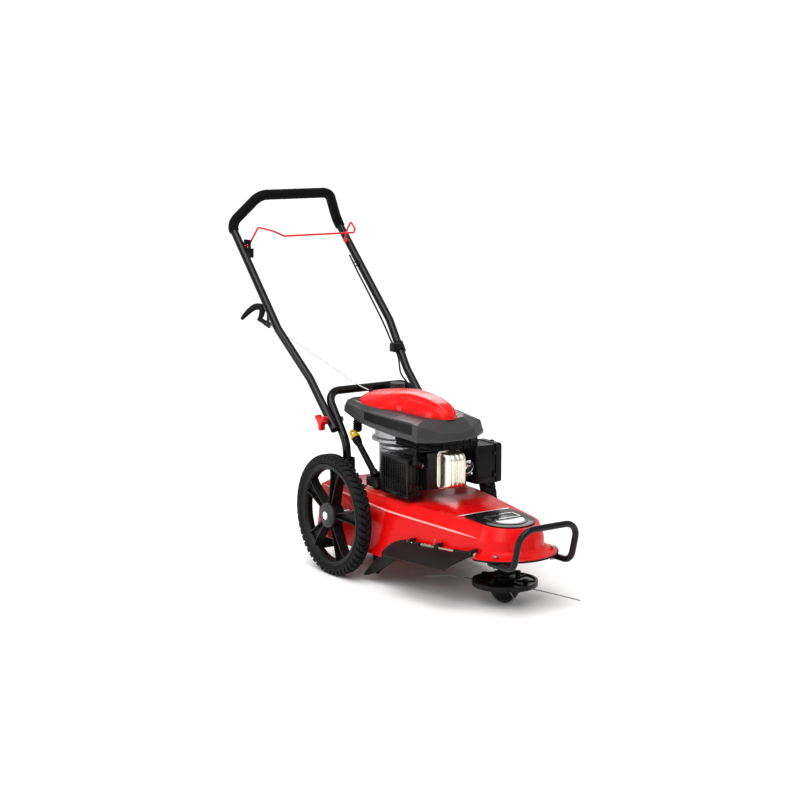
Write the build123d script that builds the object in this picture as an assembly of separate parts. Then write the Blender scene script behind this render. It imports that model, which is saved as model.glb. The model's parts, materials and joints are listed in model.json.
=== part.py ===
from build123d import *
import math
import os

# Walk-behind wheeled brush cutter. Sizes in millimetres. X points forward, Y to the machine's
# left and Z up. X is written from the wheel axle; export moves every piece back by ORIGIN_X,
# so that the row's origin lies on the ground at the middle of the overall length.

# ---------- driving dimensions ----------
ORIGIN_X = 71.9
GAP = 0.4

# wheels, 14 inch
WHEEL_R = 178.0
WHEEL_OUT_Y = 246.0
TYRE_W = 42.0
RIM_R = 150.0
RIM_INNER_R = 137.0
HUB_R = 36.0
SPOKES = 5
SPOKE_PHASE = -6.0
AXLE_R = 6.35
AXLE_FIT = 0.05
AXLE_STEP_R = 11.0
HUB_IN = 25.0
HUB_OUT = 23.0

# deck, pressed steel sheet
SHEET = 2.0
DECK_REAR_X = -155.0
TAPER_X = 190.0
DECK_BOTTOM_Z = 84.0
CREASE_Z = 228.0
CREASE_TILT = 3.15
DECK_TOP_Z = 247.0
DECK_BOTTOM_HALF = 186.0
CREASE_HALF = 168.0
DECK_TOP_HALF = 142.0
NOSE_BOTTOM_R = 113.0
NOSE_CREASE_R = 106.0
NOSE_TOP_R = 86.0
SLOPE_START_X = 262.0
SLOPE_END_X = 640.0
SLOPE_DROP = 21.0
LIP_R = 145.0
LIP_TOP_Z = 166.0
LIP_Z = 148.0

# cutting head
SPINDLE_X = 528.0
SHAFT_R = 8.5
BEARING_R = 20.0
BEARING_W = 12.0
COLUMN_R = 29.0
PLATE_Z = 176.0
DISC_R = 91.0
DISC_Z = 52.0
DISC_T = 14.0
CUP_R = 44.0
LINE_R = 1.5

# belt drive
BELT_Z = 199.0
BELT_H = 8.0
BELT_W = 10.0
DRIVE_PULLEY_R = 30.0
HEAD_PULLEY_R = 45.0
PULLEY_H = 16.0

# engine
ENGINE_X = 40.0
CRANK_R = 11.1
BASE_R = 92.0
BASE_Z = DECK_TOP_Z
CASE_TOP_Z = 372.0
ARM_X = -10.0
ARM_Y = 83.0
SHROUD_LOW_Z = 421.0
SHROUD_TOP_Z = 497.0
SHROUD_TILT = 3.0
COVER_X = 78.0

# handle, 25 mm tube
TUBE_R = 12.5
TUBE_WALL = 1.6
LEG_Y = 150.6
UPPER_Y = 176.0
PIVOT_X = -92.0
PIVOT_Z = 438.0
BOLT_R = 4.0
FOAM_R = 16.0
BAIL_X = -560.0
BAIL_Z = 921.0
BAIL_R = 3.0

# ends of the sloping hinge line of the side deflector
HINGE_REAR = (296.0, -173.0, 150.0)
HINGE_FRONT = (560.0, -128.0, 161.0)
HINGE_LENGTH = (Vector(*HINGE_FRONT) - Vector(*HINGE_REAR)).length
ROD_R = 3.0
CLIP_SPOTS = (18.0, 122.0, 252.0)
FLAP_SLOPE = 26.0
FLAP_T = 2.5
FLAP_DEPTH = 76.0
KNUCKLE_SPOTS = ((30.0, 60.0), (190.0, 240.0))
SPRING_SPOT = (64.0, 110.0)

# rubber skirt behind the lines, and the rear flap
SHIELD_RADIUS = 430.0
SKIRT_T = 5.0
SKIRT_LOW_Z = 14.0
SKIRT_START = 156.0
SKIRT_END = 204.0
SKIRT_SLITS = ((161, 34), (167, 26), (174, 38), (181, 28), (188, 34), (195, 26))
REAR_FLAP_X = DECK_REAR_X - 9.0
REAR_FLAP_Z = 112.0
REAR_FLAP_HALF = 165.0

# front bumper, 18 mm tube
BUMPER_R = 9.0
FOOT_Z = LIP_Z - BUMPER_R
BUMPER_Y = 98.0
BUMPER_BOLT_X = 612.0
BUMPER_BOLT_R = 3.0

# feet of the lower handle and their bolts
FOOT_X = -38.0
FOOT_Y = 118.0
FOOT_BOLT_LOW = 272.0
FOOT_BOLT_HIGH = 318.0
FOOT_BOLT_OFFSETS = (-14.0, 22.0)
BRACKET_T = 4.0

# cutting lines: direction in degrees about the spindle, and the tip's distance from the spindle
LINE_PATHS = ((12.0, 262.0), (-31.0, 186.0), (219.0, 226.0), (152.0, 196.0))
LINE_POSTS = 4
LINE_Z = DISC_Z + 4.5
LINE_ROOT = 78.0

# oil filler, spark plug and fuel cap
FILLER_R = 9.0
FILLER_LOW = Vector(34, -100, 286)
FILLER_HIGH = Vector(-60, -106, 382)
FILLER_LENGTH = (FILLER_HIGH - FILLER_LOW).length
PLUG_X = 281.0
CAP_X = -88.0
CAP_Y = 62.0

# points of the folding handle, the cables and the starter rope
UPPER_POINTS = [
    (-66.0, -UPPER_Y, 412.5),
    (-203.0, -UPPER_Y, 548.0),
    (-340.0, -204.0, 685.0),
    (-634.0, -196.0, 984.0),
    (-571.0, -128.0, 1076.0),
    (-571.0, 128.0, 1076.0),
    (-634.0, 196.0, 984.0),
    (-340.0, 204.0, 685.0),
    (-203.0, UPPER_Y, 548.0),
    (-66.0, UPPER_Y, 412.5),
]
UPPER_RADII = [120, 120, 34, 46, 46, 34, 120, 120]

CABLE_R = 2.75
CABLE_UPPER = [
    (-536.0, 182.0, 876.0),
    (-500.0, 184.5, 832.0),
    (-458.0, 185.0, 790.0),
    (-415.0, 185.5, 746.0),
    (-372.0, 185.0, 703.0),
    (-330.0, 182.5, 662.0),
    (-292.0, 175.0, 629.0),
    (-259.0, 168.0, 608.0),
]
CABLE_LOWER = [
    (-258.5, 167.9, 607.7),
    (-228.0, 161.0, 587.0),
    (-205.0, 149.0, 563.0),
    (-182.0, 136.0, 544.0),
    (-150.0, 125.0, 532.5),
    (-119.0, 119.0, 522.0),
    (-105.0, 124.0, 501.0),
    (-99.0, 127.5, 473.0),
    (-95.0, 126.0, 445.0),
    (-89.0, 119.0, 418.0),
    (-79.0, 104.0, 395.0),
    (-69.5, 88.5, 382.5),
]

LEAD_POINTS = [
    (PLUG_X, -131.0, 367.0),
    (PLUG_X - 1, -131.0, 385.0),
    (PLUG_X - 7, -121.0, 402.0),
    (PLUG_X - 18, -108.0, 414.0),
    (PLUG_X - 36, -98.0, 422.0),
]

# starter rope: guide on the right upright, over the crossbar, into the top cover
ROPE_R = 1.75
ROPE_POINTS = [
    (-437.0, -186.0, 690.0),
    (-395.0, -166.0, 668.5),
    (-350.0, -145.0, 644.5),
    (-303.0, -123.0, 619.0),
    (-256.0, -100.5, 592.5),
    (-208.0, -77.0, 564.0),
    (-158.0, -53.0, 534.0),
    (-110.0, -32.0, 513.5),
    (-72.0, -16.0, 506.0),
]
GRIP_ORIGIN = Vector(*ROPE_POINTS[0])


# ---------- small helpers ----------
def box(x0, x1, y0, y1, z0, z1):
    size = Box(x1 - x0, y1 - y0, z1 - z0)
    return Pos((x0 + x1) / 2, (y0 + y1) / 2, (z0 + z1) / 2) * size


def rod(start, end, radius):
    direction = Vector(*end) - Vector(*start)
    plane = Plane(origin=start, z_dir=direction)
    return extrude(plane * Circle(radius), direction.length)


def post(x, y, z0, z1, radius):
    return rod((x, y, z0), (x, y, z1), radius)


def ring(x, y, z0, z1, outer, inner):
    return post(x, y, z0, z1, outer) - post(x, y, z0 - 1, z1 + 1, inner)


def turned(profile, x=0.0, y=0.0):
    """Revolves (radius, height) points about the vertical line through x, y."""
    face = Plane.XZ * make_face(Polyline(*profile, close=True))
    return Pos(x, y, 0) * revolve(face, axis=Axis.Z)


def across(shape):
    """Lays a shape turned about Z along +Y."""
    return Rot(-90, 0, 0) * shape


def pipe(points, radii, outer, wall=0.0):
    path = FilletPolyline(*points, radius=radii)
    start = Plane(origin=path @ 0, z_dir=path % 0)
    solid = sweep(start * Circle(outer), path=path)
    if wall:
        solid -= sweep(start * Circle(outer - wall), path=path)
    return solid


def group(*shapes):
    """Keeps separate solids in one node."""
    return Compound([solid for shape in shapes for solid in shape.solids()])


def both_sides(shape):
    return group(shape, mirror(shape, about=Plane.XZ))


def cord_radii(points, limit=0.45):
    """One fillet radius for each corner: 0.45 of the shorter run over tan(half the turn)."""
    radii = []
    for before, here, after in zip(points, points[1:], points[2:]):
        first = Vector(*here) - Vector(*before)
        second = Vector(*after) - Vector(*here)
        half_turn = math.radians(first.get_angle(second)) / 2
        radii.append(limit * min(first.length, second.length) / math.tan(half_turn))
    return radii


def cord_tool(points, radius):
    path = FilletPolyline(*points, radius=cord_radii(points))
    start = Plane(origin=path @ 0, z_dir=path % 0)
    return sweep(start * Circle(radius), path=path)


def cord(name, points, radius):
    """A cable or rope: straight runs joined by tangent arcs; prints its radii and length."""
    radii = cord_radii(points)
    path = FilletPolyline(*points, radius=radii)
    solid = cord_tool(points, radius)
    share = solid.volume / (math.pi * radius**2 * path.length)
    print(name, "length", round(path.length, 1), "volume share", round(share, 4))
    print(name, "radii", [round(value, 1) for value in radii])
    return solid


def hex_bolt(x, y, z, shank, length, head=None):
    """Bolt standing on z: hexagon head above, shank below."""
    head = head or shank * 0.9
    cap = Pos(x, y, z) * extrude(RegularPolygon(shank * 1.9, 6), head)
    return cap + post(x, y, z - length, z, shank)


# ---------- wheels ----------
def tyre():
    width = TYRE_W / 2
    crown = WHEEL_R
    profile = [
        (RIM_R, -width + 6),
        (RIM_R + 6, -width + 1),
        (crown - 13, -width),
        (crown - 3, -width + 5),
        (crown, -width + 11),
        (crown, width - 11),
        (crown - 3, width - 5),
        (crown - 13, width),
        (RIM_R + 6, width - 1),
        (RIM_R, width - 6),
    ]
    return across(turned(profile))


def rim_ring():
    width = TYRE_W / 2
    profile = [
        (RIM_INNER_R, -width + 7),
        (RIM_R, -width + 6.5),
        (RIM_R, width - 6.5),
        (RIM_INNER_R, width - 7),
        (RIM_INNER_R - 5, 6),
        (RIM_INNER_R - 5, -6),
    ]
    return turned(profile)


def spoke(angle):
    root, tip = HUB_R - 6, RIM_INNER_R - 3
    root_half, tip_half = 10.0, 19.0
    rib, web = 5.0, 4.0
    depth_root, depth_tip = 34.0, 26.0
    outline = [(root, -root_half), (tip, -tip_half), (tip, tip_half), (root, root_half)]
    plate = Pos(0, 0, -web / 2) * extrude(make_face(Polyline(*outline, close=True)), web)
    bars = []
    for side in (-1, 1):
        edge = [
            (root, side * root_half),
            (tip, side * tip_half),
            (tip, side * (tip_half - rib)),
            (root, side * (root_half - rib)),
        ]
        face = make_face(Polyline(*edge, close=True))
        bars.append(Pos(0, 0, -depth_root / 2) * extrude(face, depth_root))
    taper = [
        (root - 1, -depth_root / 2),
        (tip + 1, -depth_tip / 2),
        (tip + 1, depth_tip / 2),
        (root - 1, depth_root / 2),
    ]
    envelope = Plane.XZ * make_face(Polyline(*taper, close=True))
    envelope = extrude(envelope, tip_half + 2, both=True)
    return Rot(0, 0, angle) * ((bars[0] + bars[1] + plate) & envelope)


def rim():
    hub = post(0, 0, -HUB_IN, HUB_OUT, HUB_R - 12) + post(0, 0, -18, 18, HUB_R)
    body = rim_ring() + hub
    for index in range(SPOKES):
        body += spoke(SPOKE_PHASE + index * 360.0 / SPOKES)
    body -= post(0, 0, -30, 30, AXLE_R + AXLE_FIT)
    return across(body)


def hub_cap():
    profile = [(0, 28), (13, 28), (16, 26.5), (22, 25), (24, 23), (24, 18), (29, 18), (29, 22)]
    profile += [(27, 26), (20, 29), (0, 30)]
    return across(turned(profile))


def wheel_piece(shape, side):
    """Places a piece made for the left wheel; side is 1 for left and -1 for right."""
    placed = Pos(0, WHEEL_OUT_Y - TYRE_W / 2, WHEEL_R) * shape
    return placed if side > 0 else mirror(placed, about=Plane.XZ)


def wheel_axle():
    """Stepped axle: the thick middle stops the hubs from sliding inwards."""
    hub_face = WHEEL_OUT_Y - TYRE_W / 2 - HUB_IN
    end = hub_face + HUB_IN + HUB_OUT + 3
    shape = rod((0, -end, WHEEL_R), (0, end, WHEEL_R), AXLE_R)
    middle = hub_face - GAP
    return shape + rod((0, -middle, WHEEL_R), (0, middle, WHEEL_R), AXLE_STEP_R)


# ---------- deck ----------
def deck_outline(plane, half, nose_r, rear_x):
    """Wedge outline: straight sides, tangent taper and a round nose."""
    reach = SPINDLE_X - TAPER_X
    span = math.hypot(reach, half)
    turn = math.asin(nose_r / span) - math.atan2(half, reach)
    length = math.sqrt(span**2 - nose_r**2)
    touch_x = TAPER_X + length * math.cos(turn)
    touch_y = half + length * math.sin(turn)
    sides = Polyline(
        (touch_x, -touch_y),
        (TAPER_X, -half),
        (rear_x, -half),
        (rear_x, half),
        (TAPER_X, half),
        (touch_x, touch_y),
    )
    nose = ThreePointArc((touch_x, touch_y), (SPINDLE_X + nose_r, 0), (touch_x, -touch_y))
    return plane * make_face(sides + nose)


def tilted(z, degrees):
    turn = math.radians(degrees)
    forward = (math.cos(turn), 0, -math.sin(turn))
    return Plane(origin=(0, 0, z), x_dir=forward, z_dir=(math.sin(turn), 0, math.cos(turn)))


def deck_form(inset):
    """The deck's closed outer form, or its hollow when inset by the sheet's thickness."""
    rear = DECK_REAR_X + inset
    level = tilted(DECK_BOTTOM_Z, 0)
    low = deck_outline(level, DECK_BOTTOM_HALF - inset, NOSE_BOTTOM_R - inset, rear)
    level = tilted(CREASE_Z - inset / 3, CREASE_TILT)
    crease = deck_outline(level, CREASE_HALF - inset, NOSE_CREASE_R - inset, rear)
    level = tilted(DECK_TOP_Z - inset, 0)
    top = deck_outline(level, DECK_TOP_HALF - inset, NOSE_TOP_R - inset, rear + 6)
    form = loft([low, crease], ruled=True) + loft([crease, top], ruled=True)
    slope = [
        (SLOPE_START_X, DECK_TOP_Z - inset),
        (SLOPE_END_X + 20, DECK_TOP_Z - inset - SLOPE_DROP),
        (SLOPE_END_X + 20, DECK_TOP_Z + 20),
        (SLOPE_START_X, DECK_TOP_Z + 20),
    ]
    face = Plane.XZ * make_face(Polyline(*slope, close=True))
    return form - extrude(face, 300, both=True)


def nose_lip():
    """Flared skirt round the nose."""
    profile = [
        (NOSE_BOTTOM_R - 8, LIP_TOP_Z + 3),
        (NOSE_BOTTOM_R - 5, LIP_TOP_Z + 3),
        (NOSE_BOTTOM_R + 6, LIP_TOP_Z - 6),
        (LIP_R - 8, LIP_Z + 6),
        (LIP_R, LIP_Z + 3),
        (LIP_R, LIP_Z),
        (LIP_R - 9, LIP_Z),
        (NOSE_BOTTOM_R + 3, LIP_TOP_Z - 10),
        (NOSE_BOTTOM_R - 8, LIP_TOP_Z - 2),
    ]
    front = box(SPINDLE_X + 34, 700, -200, 200, 100, 260)
    return turned(profile, SPINDLE_X) & front


def deck_shell():
    shell = deck_form(0) - deck_form(SHEET)
    wedge = [(226, 60), (226, DECK_BOTTOM_Z), (330, 136), (500, LIP_Z), (720, LIP_Z), (720, 60)]
    cut = extrude(Plane.XZ * make_face(Polyline(*wedge, close=True)), 300, both=True)
    shell = (shell - cut) + nose_lip()
    shell -= post(ENGINE_X, 0, 230, 260, 40)
    shell -= rod((0, -300, WHEEL_R), (0, 300, WHEEL_R), AXLE_STEP_R)
    for x, y in engine_bolt_spots():
        shell -= post(x, y, 230, 260, BOLT_R)
    for offset in FOOT_BOLT_OFFSETS:
        for side in (-1, 1):
            shell -= post(FOOT_X + offset, side * FOOT_Y, 230, 260, BOLT_R)
    for side in (-1, 1):
        shell -= post(BUMPER_BOLT_X, side * BUMPER_Y, 100, 180, BUMPER_BOLT_R)
    return shell


def engine_bolt_spots():
    reach = BASE_R - 9
    return [
        (ENGINE_X + reach * math.cos(angle), reach * math.sin(angle))
        for angle in (math.radians(35 + 120 * step) for step in range(3))
    ]


def nose_badge():
    """Raised plain plaque that follows the nose."""
    run = SLOPE_END_X + 20 - SLOPE_START_X
    z = DECK_TOP_Z - SLOPE_DROP * (SPINDLE_X - SLOPE_START_X) / run
    turn = math.atan2(SLOPE_DROP, run)

    def outline(grow, lift):
        plane = Plane(
            origin=(SPINDLE_X, 0, z + lift),
            x_dir=(math.cos(turn), 0, -math.sin(turn)),
            z_dir=(math.sin(turn), 0, math.cos(turn)),
        )
        front, half, back = 76 - grow, 62 - grow, -98 + grow * 2
        sides = Polyline((30, -half), (back, -half * 0.72), (back, half * 0.72), (30, half))
        nose = ThreePointArc((30, half), (front, 0), (30, -half))
        return plane * make_face(sides + nose)

    return loft([outline(0, 0.2), outline(4, 7)], ruled=True)


def fasteners():
    bolts = [hex_bolt(x, y, BASE_Z + 12, BOLT_R, 30) for x, y in engine_bolt_spots()]
    for offset in FOOT_BOLT_OFFSETS:
        for side in (-1, 1):
            bolts.append(hex_bolt(FOOT_X + offset, side * FOOT_Y, DECK_TOP_Z + 3, BOLT_R, 12))
    for side in (-1, 1):
        for z in (FOOT_BOLT_LOW, FOOT_BOLT_HIGH):
            bolts.append(cross_bolt(FOOT_X, side, z))
        bumper_nut = post(BUMPER_BOLT_X, side * BUMPER_Y, 160, 166, 6)
        bumper_head = post(BUMPER_BOLT_X, side * BUMPER_Y, 126, FOOT_Z - BUMPER_R, 6)
        bumper_shank = post(BUMPER_BOLT_X, side * BUMPER_Y, 127, 165, BUMPER_BOLT_R)
        bolts.append(bumper_shank + bumper_head + bumper_nut - deck_form(0) - nose_lip())
    for x, y in spindle_bolt_spots():
        bolts.append(hex_bolt(x, y, PLATE_Z + 3, 3, 14, 3.4))
    return group(*bolts, handle_bolts())


def spindle_bolt_spots():
    return [
        (SPINDLE_X + 40 * math.cos(angle), 40 * math.sin(angle))
        for angle in (math.radians(45 + 90 * step) for step in range(4))
    ]


def cross_bolt(x, side, z):
    inner = LEG_Y - TUBE_R - BRACKET_T
    outer = LEG_Y + TUBE_R
    bolt = rod((x, inner - 4, z), (x, outer + 1, z), BOLT_R)
    head = rod((x, outer + GAP / 4, z), (x, outer + 4, z), 7)
    nut = rod((x, inner - 5, z), (x, inner, z), 6.5)
    shape = bolt + head + nut
    return shape if side > 0 else mirror(shape, about=Plane.XZ)


# ---------- bumper, deflector and shields ----------
def front_bumper():
    foot_y, top_y = BUMPER_Y, 66.0
    points = [
        (586, -foot_y, FOOT_Z),
        (690, -foot_y, FOOT_Z),
        (712, -foot_y, 222),
        (722, -top_y, 253),
        (722, top_y, 253),
        (712, foot_y, 222),
        (690, foot_y, FOOT_Z),
        (586, foot_y, FOOT_Z),
    ]
    tube = pipe(points, [34, 22, 22, 22, 22, 34], BUMPER_R, TUBE_WALL)
    for side in (-1, 1):
        tube -= post(BUMPER_BOLT_X, side * BUMPER_Y, 100, 200, BUMPER_BOLT_R)
    return tube


def hinge_direction():
    return (Vector(*HINGE_FRONT) - Vector(*HINGE_REAR)).normalized()


def hinge_frame():
    """Origin at the hinge's rear end, local x along the hinge and local z nearly up."""
    along = hinge_direction()
    level = Vector(0, 0, 1).cross(along).normalized()
    return Plane(origin=HINGE_REAR, x_dir=along, z_dir=along.cross(level))


def hinge_rods():
    """The side deflector's rod and the rear flap's rod."""
    end = HINGE_LENGTH
    side_rod = rod((0, 0, 0), (end, 0, 0), ROD_R)
    for start in (-3, end):
        side_rod += rod((start, 0, 0), (start + 3, 0, 0), ROD_R + 3)
    return group(hinge_frame().location * side_rod, rear_flap_rod())


def hinge_clips():
    """Ears that hold the rod; each has a foot against the deck's side wall."""
    clips = []
    for spot in CLIP_SPOTS:
        ear = rod((spot - 5, 0, 0), (spot + 5, 0, 0), 7.5)
        ear += box(spot - 5, spot + 5, 0, 26, -4, 10)
        ear -= rod((spot - 8, 0, 0), (spot + 8, 0, 0), ROD_R)
        clips.append(ear)
    placed = hinge_frame().location * group(*clips)
    wall = deck_form(0)
    return group(*[clip - wall for clip in placed.solids()])


def side_deflector():
    """Hinged chute cover: a plate that slopes down and out from two rolled knuckles."""
    outline = [(-22, -8), (262, -8), (216, -FLAP_DEPTH), (-32, -FLAP_DEPTH + 12)]
    plate = extrude(make_face(Polyline(*outline, close=True)), FLAP_T / 2, both=True)
    fold = box(12, 216, -FLAP_DEPTH, -FLAP_DEPTH + FLAP_T, -9, 0)
    plate += fold
    for spot in CLIP_SPOTS:
        plate -= box(spot - 7, spot + 7, -10.5, 0, -20, 20)
    for start, end in KNUCKLE_SPOTS:
        plate += rod((start, 0, 0), (end, 0, 0), ROD_R + 2.5)
        plate += box(start, end, -9, 0, -FLAP_T / 2, FLAP_T / 2)
    plate -= rod((-20, 0, 0), (320, 0, 0), ROD_R + AXLE_FIT)
    plate = Rot(FLAP_SLOPE, 0, 0) * plate
    return hinge_frame().location * plate


def deflector_spring():
    """Torsion spring round the rod, between the first knuckle and the middle clip."""
    low, high = SPRING_SPOT
    coil = rod((low, 0, 0), (high, 0, 0), ROD_R + 2.6)
    coil -= rod((low, 0, 0), (high, 0, 0), ROD_R + 0.4)
    return hinge_frame().location * coil


def arc_wall(radius, thick, z0, z1, start, end):
    """Upright wall bent about the spindle axis, from start to end degrees."""
    outer, inner = radius + thick / 2, radius - thick / 2
    curve = CenterArc((SPINDLE_X, 0), outer, start, end - start)
    back = CenterArc((SPINDLE_X, 0), inner, start, end - start)
    face = make_face(curve + back + Line(curve @ 0, back @ 0) + Line(curve @ 1, back @ 1))
    return Pos(0, 0, z0) * extrude(face, z1 - z0)


def debris_skirt():
    """Curved rubber skirt behind the sweep of the lines; it hangs from the spindle plate."""
    wall = arc_wall(SHIELD_RADIUS, SKIRT_T, SKIRT_LOW_Z, PLATE_Z, SKIRT_START, SKIRT_END)
    for start, depth in SKIRT_SLITS:
        wall -= arc_wall(SHIELD_RADIUS, SKIRT_T * 2, 0, SKIRT_LOW_Z + depth, start, start + 1.2)
    below = box(100, 400, -175, 175, 0, DECK_BOTTOM_Z)
    return wall & (deck_form(SHEET + 0.6) + below)


def rear_flap():
    """Trailing rubber flap that hangs behind the deck between the wheels."""
    x, half = REAR_FLAP_X, REAR_FLAP_HALF
    hang = box(x - 2, x + 2, -half, half, 34, REAR_FLAP_Z)
    eye = rod((x, -half, REAR_FLAP_Z), (x, half, REAR_FLAP_Z), ROD_R * 2)
    bore = rod((x, -half - 5, REAR_FLAP_Z), (x, half + 5, REAR_FLAP_Z), ROD_R + AXLE_FIT)
    return hang + eye - bore


def rear_flap_rod():
    """Rod with a lug at each end that is welded to the deck's rear wall."""
    end = REAR_FLAP_HALF + 13
    shape = rod((REAR_FLAP_X, -end, REAR_FLAP_Z), (REAR_FLAP_X, end, REAR_FLAP_Z), ROD_R)
    for side in (-1, 1):
        y = side * (end - 6)
        x0, x1 = REAR_FLAP_X - 5, DECK_REAR_X + 2
        shape += box(x0, x1, y - 3, y + 3, REAR_FLAP_Z - 6, REAR_FLAP_Z + 6)
    return shape - deck_form(0)


# ---------- cutting head ----------
def spindle_housing():
    """Column welded to the flat carrier plate that closes the belt's chamber."""
    plate = extrude(deck_outline(tilted(PLATE_Z, 0), 150, 106, 130), 3)
    plate &= deck_form(SHEET + 0.4)
    column = post(SPINDLE_X, 0, 84, PLATE_Z, COLUMN_R)
    column += post(SPINDLE_X, 0, PLATE_Z - 8, PLATE_Z, 52)
    column += plate
    column -= post(SPINDLE_X, 0, 70, 190, 14)
    column -= post(SPINDLE_X, 0, 70, 84 + BEARING_W, BEARING_R)
    column -= post(SPINDLE_X, 0, PLATE_Z - BEARING_W, 190, BEARING_R)
    for x, y in spindle_bolt_spots():
        column -= post(x, y, 160, 190, 3)
    return column


def spindle_bearings():
    low = ring(SPINDLE_X, 0, 84, 84 + BEARING_W, BEARING_R, SHAFT_R + AXLE_FIT)
    high = ring(SPINDLE_X, 0, PLATE_Z - BEARING_W, PLATE_Z, BEARING_R, SHAFT_R + AXLE_FIT)
    return group(low, high)


def spindle_shaft():
    return post(SPINDLE_X, 0, 40, BELT_Z + PULLEY_H / 2 + 6, SHAFT_R)


def pulley(x, outer, bore):
    half = PULLEY_H / 2
    groove = 5.0
    deep = outer - BELT_W - 0.6
    profile = [
        (bore, BELT_Z - half),
        (outer, BELT_Z - half),
        (outer, BELT_Z - groove - 0.6),
        (deep, BELT_Z - groove - 0.2),
        (deep, BELT_Z + groove + 0.2),
        (outer, BELT_Z + groove + 0.6),
        (outer, BELT_Z + half),
        (bore, BELT_Z + half),
    ]
    return turned(profile, x)


def belt_loop(inset):
    """Open belt round both pulleys, as a flat outline."""
    small, large = DRIVE_PULLEY_R - inset, HEAD_PULLEY_R - inset
    centre = SPINDLE_X - ENGINE_X
    lean = math.asin((large - small) / centre)
    small_x, small_y = ENGINE_X - small * math.sin(lean), small * math.cos(lean)
    large_x, large_y = SPINDLE_X - large * math.sin(lean), large * math.cos(lean)
    upper = Line((small_x, small_y), (large_x, large_y))
    front = ThreePointArc((large_x, large_y), (SPINDLE_X + large, 0), (large_x, -large_y))
    lower = Line((large_x, -large_y), (small_x, -small_y))
    back = ThreePointArc((small_x, -small_y), (ENGINE_X - small, 0), (small_x, small_y))
    return make_face(upper + front + lower + back)


def drive_belt():
    strip = extrude(belt_loop(0.4), BELT_H / 2, both=True)
    strip -= extrude(belt_loop(BELT_W - 0.4), BELT_H, both=True)
    return Pos(0, 0, BELT_Z) * strip


def line_disc():
    disc = post(SPINDLE_X, 0, DISC_Z, DISC_Z + DISC_T - 5, DISC_R)
    disc += ring(SPINDLE_X, 0, DISC_Z, DISC_Z + DISC_T, DISC_R, DISC_R - 6)
    disc += post(SPINDLE_X, 0, DISC_Z, DISC_Z + 22, 26)
    for index in range(LINE_POSTS):
        x, y = post_spot(index)
        disc += post(x, y, DISC_Z, DISC_Z + DISC_T + 7, 6)
    disc -= post(SPINDLE_X, 0, DISC_Z - 5, DISC_Z + 40, SHAFT_R)
    for index in range(len(LINE_PATHS)):
        disc -= rod(*line_ends(index), LINE_R)
    return disc


def post_spot(index):
    angle = math.radians(20 + index * 90)
    return SPINDLE_X + 66 * math.cos(angle), 66 * math.sin(angle)


def line_ends(index):
    angle, reach = LINE_PATHS[index]
    turn = math.radians(angle)
    start = (SPINDLE_X + LINE_ROOT * math.cos(turn), LINE_ROOT * math.sin(turn), LINE_Z)
    end = (SPINDLE_X + reach * math.cos(turn), reach * math.sin(turn), LINE_Z)
    return start, end


def trimmer_lines():
    return group(*[rod(*line_ends(index), LINE_R) for index in range(len(LINE_PATHS))])


def glide_cup():
    """Domed cup that the head slides over the ground on."""
    depth = 48
    bowl = [(0, 0)]
    for step in range(1, 7):
        angle = math.radians(step * 15)
        bowl.append((CUP_R * math.sin(angle), depth - depth * math.cos(angle)))
    bowl += [(CUP_R, DISC_Z), (SHAFT_R, DISC_Z), (SHAFT_R, 39), (0, 39)]
    return turned(bowl, SPINDLE_X)


# ---------- engine ----------
def engine_base():
    """Sump casting: bolting flange, oil sump and filler boss."""
    base = post(ENGINE_X, 0, BASE_Z, BASE_Z + 12, BASE_R)
    base += post(ENGINE_X, 0, BASE_Z + 12, BASE_Z + 44, BASE_R - 16)
    base += box(ENGINE_X - 36, ENGINE_X + 22, -112, -60, BASE_Z + 6, BASE_Z + 36)
    base -= post(ENGINE_X, 0, BASE_Z - 5, BASE_Z + 60, CRANK_R + AXLE_FIT)
    for x, y in engine_bolt_spots():
        base -= post(x, y, BASE_Z - 5, BASE_Z + 20, BOLT_R)
        base -= post(x, y, BASE_Z + 12, BASE_Z + 50, BOLT_R * 2.1)
    base -= rod(*filler_line(-6, 60), FILLER_R - 2)
    return base


def filler_line(before, length):
    """Two points on the oil filler's axis, measured from its lower end."""
    along = (FILLER_HIGH - FILLER_LOW).normalized()
    start = FILLER_LOW + along * before
    end = FILLER_LOW + along * length
    return tuple(start), tuple(end)


def filler_tube():
    tube = rod(*filler_line(0, FILLER_LENGTH), FILLER_R)
    tube -= rod(*filler_line(-3, FILLER_LENGTH + 3), FILLER_R - 2)
    return tube - engine_base()


def dipstick():
    cap = rod(*filler_line(FILLER_LENGTH + GAP, FILLER_LENGTH + 16), 13)
    cap += rod(*filler_line(FILLER_LENGTH + 14, FILLER_LENGTH + 26), 6)
    blade = rod(*filler_line(14, FILLER_LENGTH + 4), 2.5)
    return cap + blade


def crankcase():
    """Crankcase cast in one with the finned cylinder; a lug carries the brake arm's pin."""
    case = post(ENGINE_X, 0, BASE_Z + 44, CASE_TOP_Z, 76)
    case += box(ENGINE_X, 112, -88, 34, BASE_Z + 46, 366)
    case += box(112, 212, -78, -2, 298, 362)
    for index in range(9):
        x = 120 + index * 10
        case += box(x, x + 4, -92, 10, 290, 372)
    case += box(ARM_X - 12, ARM_X + 14, 40, ARM_Y + 8, CASE_TOP_Z - 8, CASE_TOP_Z)
    case += post(ARM_X, ARM_Y, CASE_TOP_Z - 4, CASE_TOP_Z + 12, 3)
    case -= post(ENGINE_X, 0, BASE_Z + 58, 360, 62)
    case -= post(ENGINE_X, 0, BASE_Z, 380, CRANK_R + AXLE_FIT)
    return case


def cylinder_head():
    head = box(212, 290, -88, 4, 296, 368)
    for index in range(6):
        x = 218 + index * 10
        head += box(x, x + 4, -94, 12, 290, 378)
    head += box(290, 298, -97, 4, 288, 392)
    return head - plug_form()


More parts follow.
